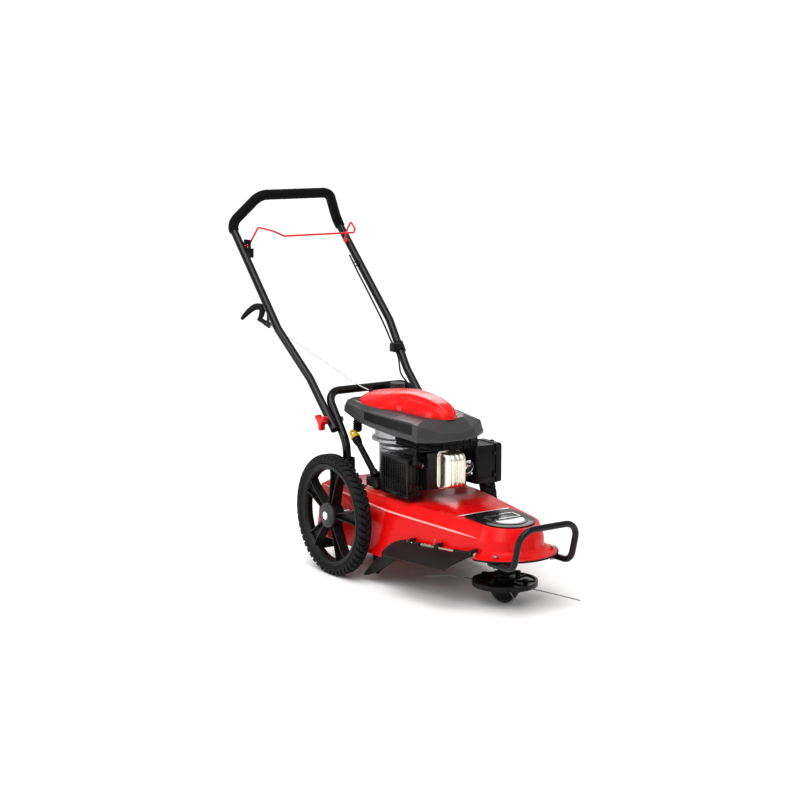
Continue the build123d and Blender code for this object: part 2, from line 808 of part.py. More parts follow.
def rocker_cover():
    cover = box(298, 304, -90, 8, 286, 393)
    lid = box(304, 356, -80, 0, 290, 389)
    lid = fillet(lid.edges().filter_by(Axis.X), 10)
    lid = fillet(lid.faces().sort_by(Axis.X)[-1].edges(), 8)
    return cover + lid


def plug_form():
    return rod((PLUG_X, -112, 358), (PLUG_X, -80, 343), 5)


def spark_plug():
    return plug_form() + rod((PLUG_X, -112, 358), (PLUG_X, -106, 355.2), 8)


def plug_lead():
    """Rubber boot moulded on to the ignition lead."""
    boot = rod((PLUG_X, -134, 368.3), (PLUG_X, -112.3, 358.2), 9.5)
    return boot + cord("plug_lead", LEAD_POINTS, 3.5)


def muffler():
    body = box(146, 256, -136, -97, 268, 362)
    body = fillet(body.edges().filter_by(Axis.Z), 12)
    return body


def muffler_guard():
    """Slotted sheet box over the silencer, open towards the cylinder."""
    x0, x1, y0, y1, z0, z1 = 134, 268, -148, -97, 262, 376
    guard = box(x0, x1, y0, y1, z0, z1) - box(x0 + 2, x1 - 2, y0 + 2, y1 + 5, z0 + 2, z1 - 2)
    for index in range(10):
        x = x0 + 14 + index * 11.6
        for low, high in ((z0 + 12, 304), (310, z1 - 14)):
            guard -= box(x, x + 5, y0 - 2, y0 + 4, low, high)
    for index in range(4):
        y = y0 + 9 + index * 11
        for low, high in ((z0 + 12, 304), (310, z1 - 14)):
            guard -= box(x1 - 4, x1 + 2, y, y + 5, low, high)
        guard -= box(x0 + 20, x1 - 20, y, y + 5, z1 - 4, z1 + 2)
    return guard


def carburettor():
    body = box(262, 300, 22, 56, 312, 346)
    body += rod((281, 30, 290), (281, 30, 316), 15)
    body += rod((276, 12.5, 330), (276, 66, 330), 14)
    return body + rod((268, 40, 345), (268, 40, 353), 2.5)


def choke_lever():
    lever = rod((268, 40, 347), (268, 40, 351), 8)
    lever += box(268, 322, 36, 44, 347, 350)
    lever += rod((318, 40, 344), (318, 40, 356), 4)
    return lever - rod((268, 40, 340), (268, 40, 360), 2.5 + AXLE_FIT)


def air_filter_box():
    outer = box(216, 306, 66, 138, 286, 396)
    outer = fillet(outer.edges().filter_by(Axis.Z), 8)
    return outer - box(220, 302, 70, 146, 294, 388) - rod((276, 50, 330), (276, 76, 330), 14)


def air_filter_cover():
    lid = box(214, 308, 138.4, 154, 284, 398)
    lid = fillet(lid.edges().filter_by(Axis.Y), 8)
    for index in range(5):
        z = 300 + index * 18
        lid -= box(226, 296, 151, 156, z, z + 8)
    return lid


def shroud_form(inset, low_drop):
    """Faceted cowl form, wider at the bottom and sloping down forwards."""
    low = [(-132, -112), (-92, -134), (268, -132), (312, -92), (312, 84), (270, 118), (-92, 118)]
    low += [(-132, 96)]
    top = [(-112, -84), (-84, -106), (230, -104), (272, -70), (272, 62), (230, 92), (-84, 92)]
    top += [(-112, 74)]
    faces = []
    levels = ((SHROUD_LOW_Z - low_drop, low), (SHROUD_LOW_Z + 40 - inset / 2, low))
    for z, points in levels + ((SHROUD_TOP_Z - inset, top),):
        moved = [(x - math.copysign(inset, x), y - math.copysign(inset, y)) for x, y in points]
        faces.append(tilted(z, SHROUD_TILT) * make_face(Polyline(*moved, close=True)))
    return loft(faces[:2], ruled=True) + loft(faces[1:], ruled=True)


def engine_shroud():
    shell = shroud_form(0, 0) - shroud_form(2.5, 0)
    shell -= post(ENGINE_X, 0, 480, 520, 66)
    shell -= post(CAP_X, CAP_Y, 470, 520, 19)
    return shell


def top_cover():
    """Domed lobed cover over the recoil starter."""
    levels = ((0, 1.0, 0.0), (16, 0.97, 0.0), (32, 0.82, -4.0), (44, 0.55, -8.0))
    faces = []
    for lift, share, shift in levels:
        half_x, half_y = 176 * share, 88 * share
        plane = tilted(SHROUD_TOP_Z + GAP + lift, SHROUD_TILT)
        outline = Pos(COVER_X + shift, 0) * Ellipse(half_x, half_y)
        faces.append(plane * outline)
    dome = loft(faces)
    dome -= ring(ENGINE_X, 0, 480, 517, 60, 5)
    dome -= post(CAP_X, CAP_Y, 470, 560, 26)
    return dome - rod(ROPE_POINTS[-2], ROPE_POINTS[-1], 4)


def starter_reel():
    reel = ring(ENGINE_X, 0, 494, 513, 44, 5 + AXLE_FIT)
    return reel - (ring(ENGINE_X, 0, 498, 509, 50, 34))


def flywheel():
    wheel = post(ENGINE_X, 0, 408, 420, 78)
    for index in range(16):
        blade = box(ENGINE_X + 50, ENGINE_X + 76, -1.5, 1.5, 420, 438)
        turned_blade = Rot(0, 0, index * 22.5) * (Pos(-ENGINE_X, 0, 0) * blade)
        wheel += Pos(ENGINE_X, 0, 0) * turned_blade
    return wheel - post(ENGINE_X, 0, 400, 430, CRANK_R)


def crankshaft():
    return post(ENGINE_X, 0, BELT_Z - PULLEY_H / 2 - 4, 462, CRANK_R)


def brake_arm():
    low = CASE_TOP_Z + GAP
    arm = box(ARM_X - 62, ARM_X, ARM_Y - 5, ARM_Y + 5, low + 2, low + 5)
    arm += post(ARM_X - 56, ARM_Y, low + 2, low + 12, 3.5) + post(ARM_X, ARM_Y, low, low + 8, 7)
    return arm - post(ARM_X, ARM_Y, 350, 400, 3 + AXLE_FIT)


def fuel_tank():
    tank = box(-112, -46, 20, 84, 396, 446) + post(CAP_X, CAP_Y, 440, 502, 15)
    tank -= box(-108, -50, 24, 80, 400, 442)
    return tank - post(CAP_X, CAP_Y, 430, 510, 11)


def fuel_cap():
    cap = post(CAP_X, CAP_Y, 508, 530, 22) - post(CAP_X, CAP_Y, 500, 514, 16)
    for index in range(24):
        angle = math.radians(index * 15)
        x = CAP_X + 22.5 * math.cos(angle)
        y = CAP_Y + 22.5 * math.sin(angle)
        cap -= post(x, y, 500, 528, 1.4)
    return cap


# ---------- handle ----------
def tube_holes(shape, spots, radius):
    for x, z in spots:
        shape -= rod((x, -300, z), (x, 300, z), radius)
    return shape


def lower_handle():
    cross_x, cross_z = -150.0, 514.0
    bend_x, bend_z = -42.0, 374.0
    points = [
        (FOOT_X, -LEG_Y, 253),
        (bend_x, -LEG_Y, bend_z),
        (cross_x, -LEG_Y, cross_z),
        (cross_x, LEG_Y, cross_z),
        (bend_x, LEG_Y, bend_z),
        (FOOT_X, LEG_Y, 253),
    ]
    tube = pipe(points, [90, 44, 44, 90], TUBE_R, TUBE_WALL)
    spots = [(PIVOT_X, PIVOT_Z), (FOOT_X, FOOT_BOLT_LOW), (FOOT_X, FOOT_BOLT_HIGH)]
    return tube_holes(tube, spots, BOLT_R)


def handle_brackets():
    inner = LEG_Y - TUBE_R - BRACKET_T
    outer = LEG_Y - TUBE_R
    foot = box(FOOT_X - 30, FOOT_X + 34, FOOT_Y - 14, outer, DECK_TOP_Z, DECK_TOP_Z + 3)
    ear = box(FOOT_X - 16, FOOT_X + 16, inner, outer, DECK_TOP_Z, 334)
    bracket = foot + ear
    for offset in FOOT_BOLT_OFFSETS:
        bracket -= post(FOOT_X + offset, FOOT_Y, 240, 260, BOLT_R)
    for z in (FOOT_BOLT_LOW, FOOT_BOLT_HIGH):
        bracket -= rod((FOOT_X, 100, z), (FOOT_X, 200, z), BOLT_R)
    return both_sides(bracket)


def upper_handle():
    tube = pipe(UPPER_POINTS, UPPER_RADII, TUBE_R, TUBE_WALL)
    tube = tube_holes(tube, [(PIVOT_X, PIVOT_Z)], BOLT_R + AXLE_FIT)
    return tube_holes(tube, [(BAIL_X, BAIL_Z)], BAIL_R + AXLE_FIT)


def foam_grip():
    points = [
        (-611.0, -196.6, 960.6),
        (-634.0, -196.0, 984.0),
        (-571.0, -128.0, 1076.0),
        (-571.0, 128.0, 1076.0),
        (-634.0, 196.0, 984.0),
        (-611.0, 196.6, 960.6),
    ]
    return pipe(points, UPPER_RADII[2:6], FOAM_R, FOAM_R - TUBE_R)


def handle_bolts():
    """Carriage bolts through both tubes; the knobs screw on to their outer ends."""
    outer = UPPER_Y + TUBE_R
    inner = LEG_Y - TUBE_R
    bolt = rod((PIVOT_X, inner - 1, PIVOT_Z), (PIVOT_X, outer + 18, PIVOT_Z), BOLT_R)
    bolt += rod((PIVOT_X, inner - 4, PIVOT_Z), (PIVOT_X, inner, PIVOT_Z), 9)
    return both_sides(bolt)


def star_knob(side):
    outer = UPPER_Y + TUBE_R + GAP
    star = Circle(13)
    for index in range(3):
        star += Rot(0, 0, 90 + index * 120) * (Pos(12, 0) * SlotOverall(31, 14))
    body = extrude(star, 17)
    body = fillet(body.faces().sort_by(Axis.Z)[-1].edges(), 3)
    body = Pos(0, 0, 9) * body + post(0, 0, 0, 10, 11) - post(0, 0, -1, 22, BOLT_R + AXLE_FIT)
    placed = Pos(PIVOT_X, outer, PIVOT_Z) * across(body)
    return placed if side > 0 else mirror(placed, about=Plane.XZ)


def bail():
    """Bent wire that stands forward when let go."""
    points = [
        (BAIL_X, -203, BAIL_Z),
        (BAIL_X, -176, BAIL_Z),
        (-517, -166, 980),
        (-468, -140, 970),
        (-473, -100, 953),
        (-473, 158, 953),
        (-488, 172, 964),
        (-512, 172, 984),
        (-532, 172, 962),
        (BAIL_X, 178, BAIL_Z),
        (BAIL_X, 203, BAIL_Z),
    ]
    return pipe(points, [8, 10, 12, 12, 6, 6, 6, 8, 8], BAIL_R)


def bail_bracket():
    """Plastic housing round the bail's right pivot, clamped to the upright."""
    body = box(-582, -540, -181, -170, 884, 940)
    body = fillet(body.edges().filter_by(Axis.Y), 6)
    body -= rod((BAIL_X, -200, BAIL_Z), (BAIL_X, -160, BAIL_Z), BAIL_R + 2)
    body -= rod((BAIL_X, -179.4, BAIL_Z), (BAIL_X, -160, BAIL_Z), BAIL_R + 8)
    body -= box(-590, -530, -179.4, -160, BAIL_Z - 8, 950)
    return body - upright_form(-1)


def upright_form(side):
    shape = rod(UPPER_POINTS[2], UPPER_POINTS[3], TUBE_R)
    return shape if side < 0 else mirror(shape, about=Plane.XZ)


def on_upright(x):
    """Centre of the left upper tube where its X is x."""
    chain = [Vector(*point) for point in UPPER_POINTS[5:]]
    for a, b in zip(chain[1:], chain[2:]):
        if min(a.X, b.X) <= x <= max(a.X, b.X):
            share = (x - a.X) / (b.X - a.X)
            return a + (b - a) * share
    raise ValueError(x)


def cable_clip():
    """Moulded clip that ties the brake cable to the left upright."""
    centre = on_upright(-262)
    along = (on_upright(-250) - on_upright(-280)).normalized()
    plane = Plane(origin=centre - along * 16, z_dir=along)
    sleeve = extrude(plane * Circle(TUBE_R + 4), 32)
    bore = extrude(Plane(origin=centre - along * 40, z_dir=along) * Circle(TUBE_R), 80)
    lug = box(-272, -246, 158, 178, 596, 622)
    clip = (sleeve + lug) - bore
    return clip - cord_tool(CABLE_UPPER, CABLE_R) - cord_tool(CABLE_LOWER, CABLE_R + GAP)


def rope_guide():
    """Eyelet and stem on the right upright; the parked grip rests on it."""
    eye = rod(tuple(grip_point(-14)), tuple(grip_point(6)), 9)
    foot = rod(tuple(grip_point(-6)), (-404, -202, 739), 4)
    bore = rod(tuple(grip_point(-30)), tuple(grip_point(30)), ROPE_R + 1.2)
    return (eye + foot) - upright_form(-1) - bore


def grip_axis():
    """Way that the starter grip is pulled: rearwards, up and out, in line with the rope."""
    first = Vector(*ROPE_POINTS[0])
    second = Vector(*ROPE_POINTS[1])
    return (first - second).normalized()


def grip_point(distance):
    return GRIP_ORIGIN + grip_axis() * distance


def starter_grip():
    """Bowed hand grip on a short stem."""
    stem = rod(tuple(grip_point(6 + GAP)), tuple(grip_point(34)), 7.5)
    points = [
        tuple(grip_point(24) + Vector(26, -6, 12)),
        tuple(grip_point(36) + Vector(4, -2, 6)),
        tuple(grip_point(42) + Vector(-34, 2, -14)),
        tuple(grip_point(34) + Vector(-62, 6, -44)),
    ]
    bow = pipe(points, [20, 30], 7.0)
    grip = stem + bow
    grip += Pos(*points[0]) * Sphere(7.0)
    grip += Pos(*points[-1]) * Sphere(7.0)
    return grip - rod(tuple(grip_point(-5)), tuple(grip_point(20)), ROPE_R)


def starter_rope():
    return cord("starter_rope", ROPE_POINTS, ROPE_R)


def handle_clips():
    return group(bail_bracket(), cable_clip(), pigtail_ring())


def deck_brackets():
    return group(hinge_clips(), handle_brackets())


def pigtail_ring():
    """Wire eye on the left upright that keeps the cable in place."""
    base = on_upright(-512)
    ring_centre = (base.X + 15, base.Y - 15.5, base.Z - 8)
    eye = Pos(*ring_centre) * (Rot(45, 30, 0) * Torus(9, 1.6))
    stem = rod((base.X + 2, base.Y - 10, base.Z), (base.X + 9, base.Y - 13, base.Z - 1), 1.6)
    return (eye + stem) - upright_form(1) - cord_tool(CABLE_UPPER, CABLE_R + 0.2)


# ---------- the assembly ----------
def assembly():
    parts = {
        "deck_shell": deck_shell(),
        "nose_badge": nose_badge(),
        "fasteners": fasteners(),
        "deck_brackets": deck_brackets(),
        "wheel_axle": wheel_axle(),
        "front_bumper": front_bumper(),
        "hinge_rods": hinge_rods(),
        "side_deflector": side_deflector(),
        "deflector_spring": deflector_spring(),
        "debris_skirt": debris_skirt(),
        "rear_flap": rear_flap(),
        "spindle_housing": spindle_housing(),
        "spindle_bearings": spindle_bearings(),
        "spindle_shaft": spindle_shaft(),
        "head_pulley": pulley(SPINDLE_X, HEAD_PULLEY_R, SHAFT_R),
        "line_disc": line_disc(),
        "trimmer_lines": trimmer_lines(),
        "glide_cup": glide_cup(),
        "drive_belt": drive_belt(),
        "crank_pulley": pulley(ENGINE_X, DRIVE_PULLEY_R, CRANK_R),
        "crankshaft": crankshaft(),
        "flywheel": flywheel(),
        "engine_base": engine_base(),
        "crankcase": crankcase(),
        "cylinder_head": cylinder_head(),
        "rocker_cover": rocker_cover(),
        "spark_plug": spark_plug(),
        "plug_lead": plug_lead(),
        "muffler": muffler(),
        "muffler_guard": muffler_guard(),
        "carburettor": carburettor(),
        "choke_lever": choke_lever(),
        "air_filter_box": air_filter_box(),
        "air_filter_cover": air_filter_cover(),
        "engine_shroud": engine_shroud(),
        "top_cover": top_cover(),
        "starter_reel": starter_reel(),
        "brake_arm": brake_arm(),
        "fuel_tank": fuel_tank(),
        "fuel_cap": fuel_cap(),
        "filler_tube": filler_tube(),
        "dipstick": dipstick(),
        "lower_handle": lower_handle(),
        "upper_handle": upper_handle(),
        "foam_grip": foam_grip(),
        "bail": bail(),
        "handle_clips": handle_clips(),
        "starter_grip": starter_grip(),
        "rope_guide": rope_guide(),
        "starter_rope": starter_rope(),
        "brake_cable_upper": cord("brake_cable_upper", CABLE_UPPER, CABLE_R),
        "brake_cable_lower": cord("brake_cable_lower", CABLE_LOWER, CABLE_R),
    }
    for name, side in (("left", 1), ("right", -1)):
        parts["tyre_" + name] = wheel_piece(tyre(), side)
        parts["rim_" + name] = wheel_piece(rim(), side)
        parts["hub_cap_" + name] = wheel_piece(hub_cap(), side)
        parts["star_knob_" + name] = star_knob(side)
    return parts


def write(parts):
    os.makedirs("parts", exist_ok=True)
    for node, shape in parts.items():
        export_step(Pos(-ORIGIN_X, 0, 0) * shape, "parts/" + node + ".step")


write(assembly())
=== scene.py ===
import json
import math
import random

import bmesh
import bpy
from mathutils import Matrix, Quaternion, Vector


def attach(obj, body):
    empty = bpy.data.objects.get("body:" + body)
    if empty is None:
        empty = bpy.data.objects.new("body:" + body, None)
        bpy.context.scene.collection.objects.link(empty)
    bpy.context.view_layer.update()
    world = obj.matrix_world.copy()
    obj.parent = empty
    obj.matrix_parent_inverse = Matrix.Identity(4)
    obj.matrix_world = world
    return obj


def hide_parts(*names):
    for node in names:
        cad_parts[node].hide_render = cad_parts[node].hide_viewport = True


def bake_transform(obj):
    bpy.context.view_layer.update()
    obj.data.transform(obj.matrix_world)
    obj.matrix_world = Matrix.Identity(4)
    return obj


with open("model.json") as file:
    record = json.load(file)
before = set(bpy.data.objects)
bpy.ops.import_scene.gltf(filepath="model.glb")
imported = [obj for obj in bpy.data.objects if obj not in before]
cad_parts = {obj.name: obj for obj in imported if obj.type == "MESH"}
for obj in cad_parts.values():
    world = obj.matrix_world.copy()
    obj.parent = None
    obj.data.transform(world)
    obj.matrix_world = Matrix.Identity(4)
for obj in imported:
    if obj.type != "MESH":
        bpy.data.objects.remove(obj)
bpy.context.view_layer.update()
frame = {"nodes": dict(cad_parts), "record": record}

# Looks of a walk-behind wheeled brush cutter. Points are written in millimetres with X measured
# from the wheel axle, as in the CAD; at() turns them into the frame's metres.

ORIGIN_X = 71.9
MM = 0.001
SPINDLE_X = 528.0
PLUG_X = 281.0
NODES = frame["nodes"]


# ---------- points, meshes and objects ----------
def at(x, y, z):
    """Point of the frame for a point in axle millimetres."""
    return Vector(((x - ORIGIN_X) * MM, y * MM, z * MM))


def points(rows):
    return [at(*row) for row in rows]


def polar(radius, degrees, x=0.0, y=0.0):
    """Two coordinates of a point on a circle round (x, y)."""
    turn = math.radians(degrees)
    return x + radius * math.cos(turn), y + radius * math.sin(turn)


def add(data, name):
    obj = bpy.data.objects.new(name, data)
    bpy.context.scene.collection.objects.link(obj)
    return obj


def mesh_piece(name, verts, faces, smooth=40.0):
    """A mesh object; edges flatter than the angle are shaded smooth."""
    mesh = bpy.data.meshes.new(name)
    mesh.from_pydata([tuple(v) for v in verts], [], faces)
    work = bmesh.new()
    work.from_mesh(mesh)
    bmesh.ops.recalc_face_normals(work, faces=work.faces)
    soften(work, smooth)
    work.to_mesh(mesh)
    work.free()
    return add(mesh, name)


def soften(work, degrees):
    limit = math.radians(degrees)
    for face in work.faces:
        face.smooth = True
    for edge in work.edges:
        edge.smooth = len(edge.link_faces) == 2 and edge.calc_face_angle(0) < limit


def finish_piece(obj, body, slot, replaced=(), material=None):
    """Gives a piece the material of its slot, hides the nodes it stands for and lets it ride."""
    obj.data.materials.clear()
    obj.data.materials.append(material or M[slot])
    if replaced:
        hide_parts(*replaced)
    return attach(obj, body) if body else obj


def bevel(obj, width, segments=2, angle=35.0):
    """Rounds the sharp edges with a modifier; width in millimetres."""
    weld = obj.modifiers.new("weld", "WELD")
    weld.merge_threshold = 0.00001
    cut = obj.modifiers.new("edges", "BEVEL")
    cut.width = width * MM
    cut.segments = segments
    cut.limit_method = "ANGLE"
    cut.angle_limit = math.radians(angle)
    cut.use_clamp_overlap = True
    cut.harden_normals = True
    for polygon in obj.data.polygons:
        polygon.use_smooth = True
    return obj


class Shape:
    """Collects vertices and faces of several simple forms for one piece."""

    def __init__(self):
        self.verts = []
        self.faces = []

    def grid(self, rows, wrap=False, ends=False, caps=False):
        """Rows of points joined by quads; wrap closes each row, ends joins the last row to the first."""
        base = len(self.verts)
        count = len(rows[0])
        for row in rows:
            self.verts.extend(row)
        last = len(rows) if ends else len(rows) - 1
        across = count if wrap else count - 1
        for i in range(last):
            j = (i + 1) % len(rows)
            for k in range(across):
                m = (k + 1) % count
                here, there = base + i * count, base + j * count
                self.faces.append((here + k, here + m, there + m, there + k))
        if caps:
            self.faces.append(tuple(base + k for k in range(count)))
            self.faces.append(tuple(base + (len(rows) - 1) * count + k for k in range(count)))

    def turned(self, profile, centre, axis="Z", steps=48):
        """Revolves (radius, height) pairs in millimetres about an axis through centre."""
        rows = []
        for radius, height in profile:
            row = []
            for step in range(steps):
                angle = 2 * math.pi * step / steps
                a, b = radius * math.cos(angle) * MM, radius * math.sin(angle) * MM
                h = height * MM
                offset = {"Z": (a, b, h), "Y": (a, h, b), "X": (h, a, b)}[axis]
                row.append(centre + Vector(offset))
            rows.append(row)
        self.grid(rows, wrap=True, caps=True)

    def tube(self, path, radius, steps=16):
        """Round tube along points; radius in millimetres, one value or one for each point."""
        radii = radius if isinstance(radius, (list, tuple)) else [radius] * len(path)
        tangents = []
        for index in range(len(path)):
            before = path[max(index - 1, 0)]
            after = path[min(index + 1, len(path) - 1)]
            tangents.append((after - before).normalized())
        normal = tangents[0].orthogonal().normalized()
        rows = []
        for index, point in enumerate(path):
            if index:
                normal = tangents[index - 1].rotation_difference(tangents[index]) @ normal
            side = tangents[index].cross(normal).normalized()
            row = []
            for step in range(steps):
                angle = 2 * math.pi * step / steps
                spoke = normal * math.cos(angle) + side * math.sin(angle)
                row.append(point + spoke * radii[index] * MM)
            rows.append(row)
        self.grid(rows, wrap=True, caps=True)

    def block(self, x0, x1, y0, y1, z0, z1):
        """Box between two values of each coordinate."""
        base = len(self.verts)
        self.verts.extend(at(x, y, z) for x in (x0, x1) for y in (y0, y1) for z in (z0, z1))
        for quad in ((0, 1, 3, 2), (4, 6, 7, 5), (0, 4, 5, 1), (2, 3, 7, 6), (0, 2, 6, 4), (1, 5, 7, 3)):
            self.faces.append(tuple(base + k for k in quad))

    def piece(self, name, smooth=40.0):
        return mesh_piece(name, self.verts, self.faces, smooth)

    def finish(self, name, smooth, body, slot, replaced=(), material=None):
        return finish_piece(self.piece(name, smooth), body, slot, replaced, material)


def bent(rows, radii, steps):
    """Centre line of a bent steel tube: straight runs joined by arcs of the given radii."""
    corners = points(rows)
    path = [corners[0]]
    for index, radius in enumerate(radii):
        before, here, after = corners[index], corners[index + 1], corners[index + 2]
        first, second = (here - before).normalized(), (after - here).normalized()
        turn = first.angle(second)
        if turn < 0.01:
            path.append(here)
            continue
        reach = radius * MM * math.tan(turn / 2)
        start = here - first * reach
        inward = (second - first).normalized()
        centre = here + inward * (radius * MM / math.cos(turn / 2))
        axis = first.cross(second).normalized()
        for step in range(steps + 1):
            spin = Quaternion(axis, turn * step / steps)
            path.append(centre + spin @ (start - centre))
    path.append(corners[-1])
    return path


def spline_points(rows):
    """Points read from a smooth NURBS curve with the given control points."""
    curve = bpy.data.curves.new("guide", "CURVE")
    curve.dimensions = "3D"
    spline = curve.splines.new("NURBS")
    spline.points.add(len(rows) - 1)
    for knot, row in zip(spline.points, points(rows)):
        knot.co = (*row, 1)
    spline.order_u = 3
    spline.use_endpoint_u = True
    spline.resolution_u = 10
    obj = add(curve, "guide")
    bpy.context.view_layer.update()
    mesh = bpy.data.meshes.new_from_object(obj)
    line = [vert.co.copy() for vert in mesh.vertices]
    bpy.data.objects.remove(obj)
    bpy.data.curves.remove(curve)
    bpy.data.meshes.remove(mesh)
    return line


def resampled(line, count):
    """The same line as evenly spaced points."""
    lengths = [0.0]
    for a, b in zip(line, line[1:]):
        lengths.append(lengths[-1] + (b - a).length)
    result = []
    place = 0
    for step in range(count):
        wanted = lengths[-1] * step / (count - 1)
        while place < len(line) - 2 and lengths[place + 1] < wanted:
            place += 1
        span = lengths[place + 1] - lengths[place]
        share = (wanted - lengths[place]) / span if span else 0
        result.append(line[place].lerp(line[place + 1], share))
    return result


# ---------- camera, light and floor ----------
def make_camera():
    data = bpy.data.cameras.new("camera")
    data.lens = 82.63
    data.sensor_width = 36.0
    camera = add(data, "camera")
    camera.location = at(4418.8, -3020.7, 1392.6)
    yaw, pitch = 2.5403, -0.1662
    camera.rotation_euler = (math.pi / 2 + pitch, 0, yaw - math.pi / 2)
    bpy.context.scene.camera = camera


def softbox(name, place, target, size, power):
    data = bpy.data.lights.new(name, "AREA")
    data.shape = "RECTANGLE"
    data.size, data.size_y = size
    data.energy = power
    lamp = add(data, name)
    lamp.location = place
    lamp.rotation_euler = (Vector(target) - Vector(place)).to_track_quat("-Z", "Y").to_euler()


def make_studio():
    bpy.context.scene.view_settings.view_transform = "Standard"
    bpy.context.scene.view_settings.look = "Medium High Contrast"
    world = bpy.data.worlds.new("studio")
    bpy.context.scene.world = world
    world.use_nodes = True
    tree = world.node_tree
    sky = tree.nodes["Background"]
    sky.inputs["Color"].default_value = (1.0, 1.0, 1.0, 1)
    sky.inputs["Strength"].default_value = 0.54
    backdrop = add_node(tree, "Background", {"Color": (1.0, 1.0, 1.0, 1), "Strength": 0.98})
    seen = add_node(tree, "LightPath").outputs["Is Camera Ray"]
    sources = {"Fac": seen, 1: sky.outputs["Background"], 2: backdrop.outputs["Background"]}
    choose = add_node(tree, "MixShader", links=sources)
    tree.links.new(choose.outputs["Shader"], tree.nodes["World Output"].inputs["Surface"])
    sun = bpy.data.lights.new("overhead", "SUN")
    sun.energy = 1.7
    sun.angle = math.radians(50)
    lamp = add(sun, "overhead")
    lamp.rotation_euler = (math.radians(22), math.radians(14), 0)
    middle = (0.1, 0, 0.4)
    softbox("key", (2.6, -2.9, 2.2), middle, (1.6, 1.8), 26)
    softbox("side", (-0.8, -3.6, 1.2), middle, (0.8, 2.2), 18)
    softbox("back", (-3.0, 2.2, 2.4), middle, (2.0, 1.4), 22)
    floor_mesh = bpy.data.meshes.new("floor")
    half = 60.0
    corners = [(-half, -half, 0), (half, -half, 0), (half, half, 0), (-half, half, 0)]
    floor_mesh.from_pydata(corners, [], [(0, 1, 2, 3)])
    floor = add(floor_mesh, "floor")
    floor.location.z = -0.0004
    floor.data.materials.append(plain_floor())


# ---------- materials ----------
def new_material(name):
    material = bpy.data.materials.new(name)
    material.use_nodes = True
    tree = material.node_tree
    shader = tree.nodes["Principled BSDF"]
    coordinates = tree.nodes.new("ShaderNodeTexCoord")
    return material, tree, shader, coordinates.outputs["Object"]


def add_node(tree, kind, values=(), links=()):
    """A shader node with the values of its inputs and the outputs that feed them."""
    made = tree.nodes.new("ShaderNode" + kind)
    for socket, value in dict(values).items():
        made.inputs[socket].default_value = value
    for socket, source in dict(links).items():
        tree.links.new(source, made.inputs[socket])
    return made


def noise(tree, vector, scale, detail=4.0, roughness=0.55):
    values = {"Scale": scale, "Detail": detail, "Roughness": roughness}
    return add_node(tree, "TexNoise", values, {"Vector": vector}).outputs["Fac"]


def ramp(tree, factor, stops):
    made = add_node(tree, "ValToRGB", links={"Fac": factor})
    elements = made.color_ramp.elements
    while len(elements) < len(stops):
        elements.new(0.5)
    for element, (place, colour) in zip(elements, stops):
        element.position = place
        element.color = (*colour, 1)
    return made.outputs["Color"]


def grey_ramp(tree, factor, low, high, start=0.3, end=0.7):
    values = {"From Min": start, "From Max": end, "To Min": low, "To Max": high}
    return add_node(tree, "MapRange", values, {"Value": factor}).outputs["Result"]


def product(tree, first, second):
    made = add_node(tree, "Math", links={0: first, 1: second})
    made.operation = "MULTIPLY"
    return made.outputs[0]


def bump(tree, shader, height, strength, distance):
    made = add_node(tree, "Bump", {"Strength": strength, "Distance": distance}, {"Height": height})
    tree.links.new(made.outputs["Normal"], shader.inputs["Normal"])


def dress_shader(tree, shader, tone, roughness, specular=None):
    """Feeds the shader its colour and its roughness, and sets how strongly it mirrors."""
    tree.links.new(tone, shader.inputs["Base Color"])
    tree.links.new(roughness, shader.inputs["Roughness"])
    if specular is not None:
        shader.inputs["Specular IOR Level"].default_value = specular


def shade(colour, factor):
    return tuple(min(1.0, channel * factor) for channel in colour)


def worn(tree, colour_output, factor, edge_colour, amount):
    """Lightens exposed edges a little, as handling and grit do."""
    geometry = add_node(tree, "NewGeometry")
    edges = grey_ramp(tree, geometry.outputs["Pointiness"], 0.0, amount, 0.53, 0.62)
    mix = add_node(tree, "Mix")
    mix.data_type = "RGBA"
    tree.links.new(product(tree, edges, factor), mix.inputs["Factor"])
    tree.links.new(colour_output, mix.inputs[6])
    mix.inputs[7].default_value = (*edge_colour, 1)
    return mix.outputs[2]


def layered(name, broad, fine, tones, rough, relief, wear, specular):
    """Broad noise tints the colour and the roughness, fine noise makes the grain."""
    material, tree, shader, place = new_material(name)
    patches = noise(tree, place, *broad)
    grain = noise(tree, place, *fine)
    tone = worn(tree, ramp(tree, patches, tones), grain, *wear)
    dress_shader(tree, shader, tone, grey_ramp(tree, patches, *rough), specular)
    bump(tree, shader, grain, *relief)
    return material, shader


def paint(name, colour, rough=(0.16, 0.28), coat=0.5, edge=(0.2, 0.2, 0.2), wear=0.25, peel=0.05):
    """Sprayed enamel: orange peel, faint dust and thin edges."""
    tones = [(0.25, shade(colour, 0.88)), (0.6, colour), (0.85, shade(colour, 1.08))]
    relief = (peel, 0.0004)
    material, shader = layered(name, (9.0,), (240.0, 2.0), tones, rough, relief, (edge, wear), 0.25)
    shader.inputs["Coat Weight"].default_value = coat
    shader.inputs["Coat Roughness"].default_value = 0.05
    return material


def plastic(name, colour, rough=(0.42, 0.58), grain=900.0, depth=0.18, wear=0.25, specular=0.22):
    """Moulded plastic with a fine spark-eroded grain."""
    tones = [(0.25, shade(colour, 0.8)), (0.55, colour), (0.85, shade(colour, 1.25))]
    edges = (shade(colour, 2.2), wear)
    return layered(name, (14.0,), (grain, 3.0, 0.6), tones, rough, (depth, 0.0003), edges, specular)[0]


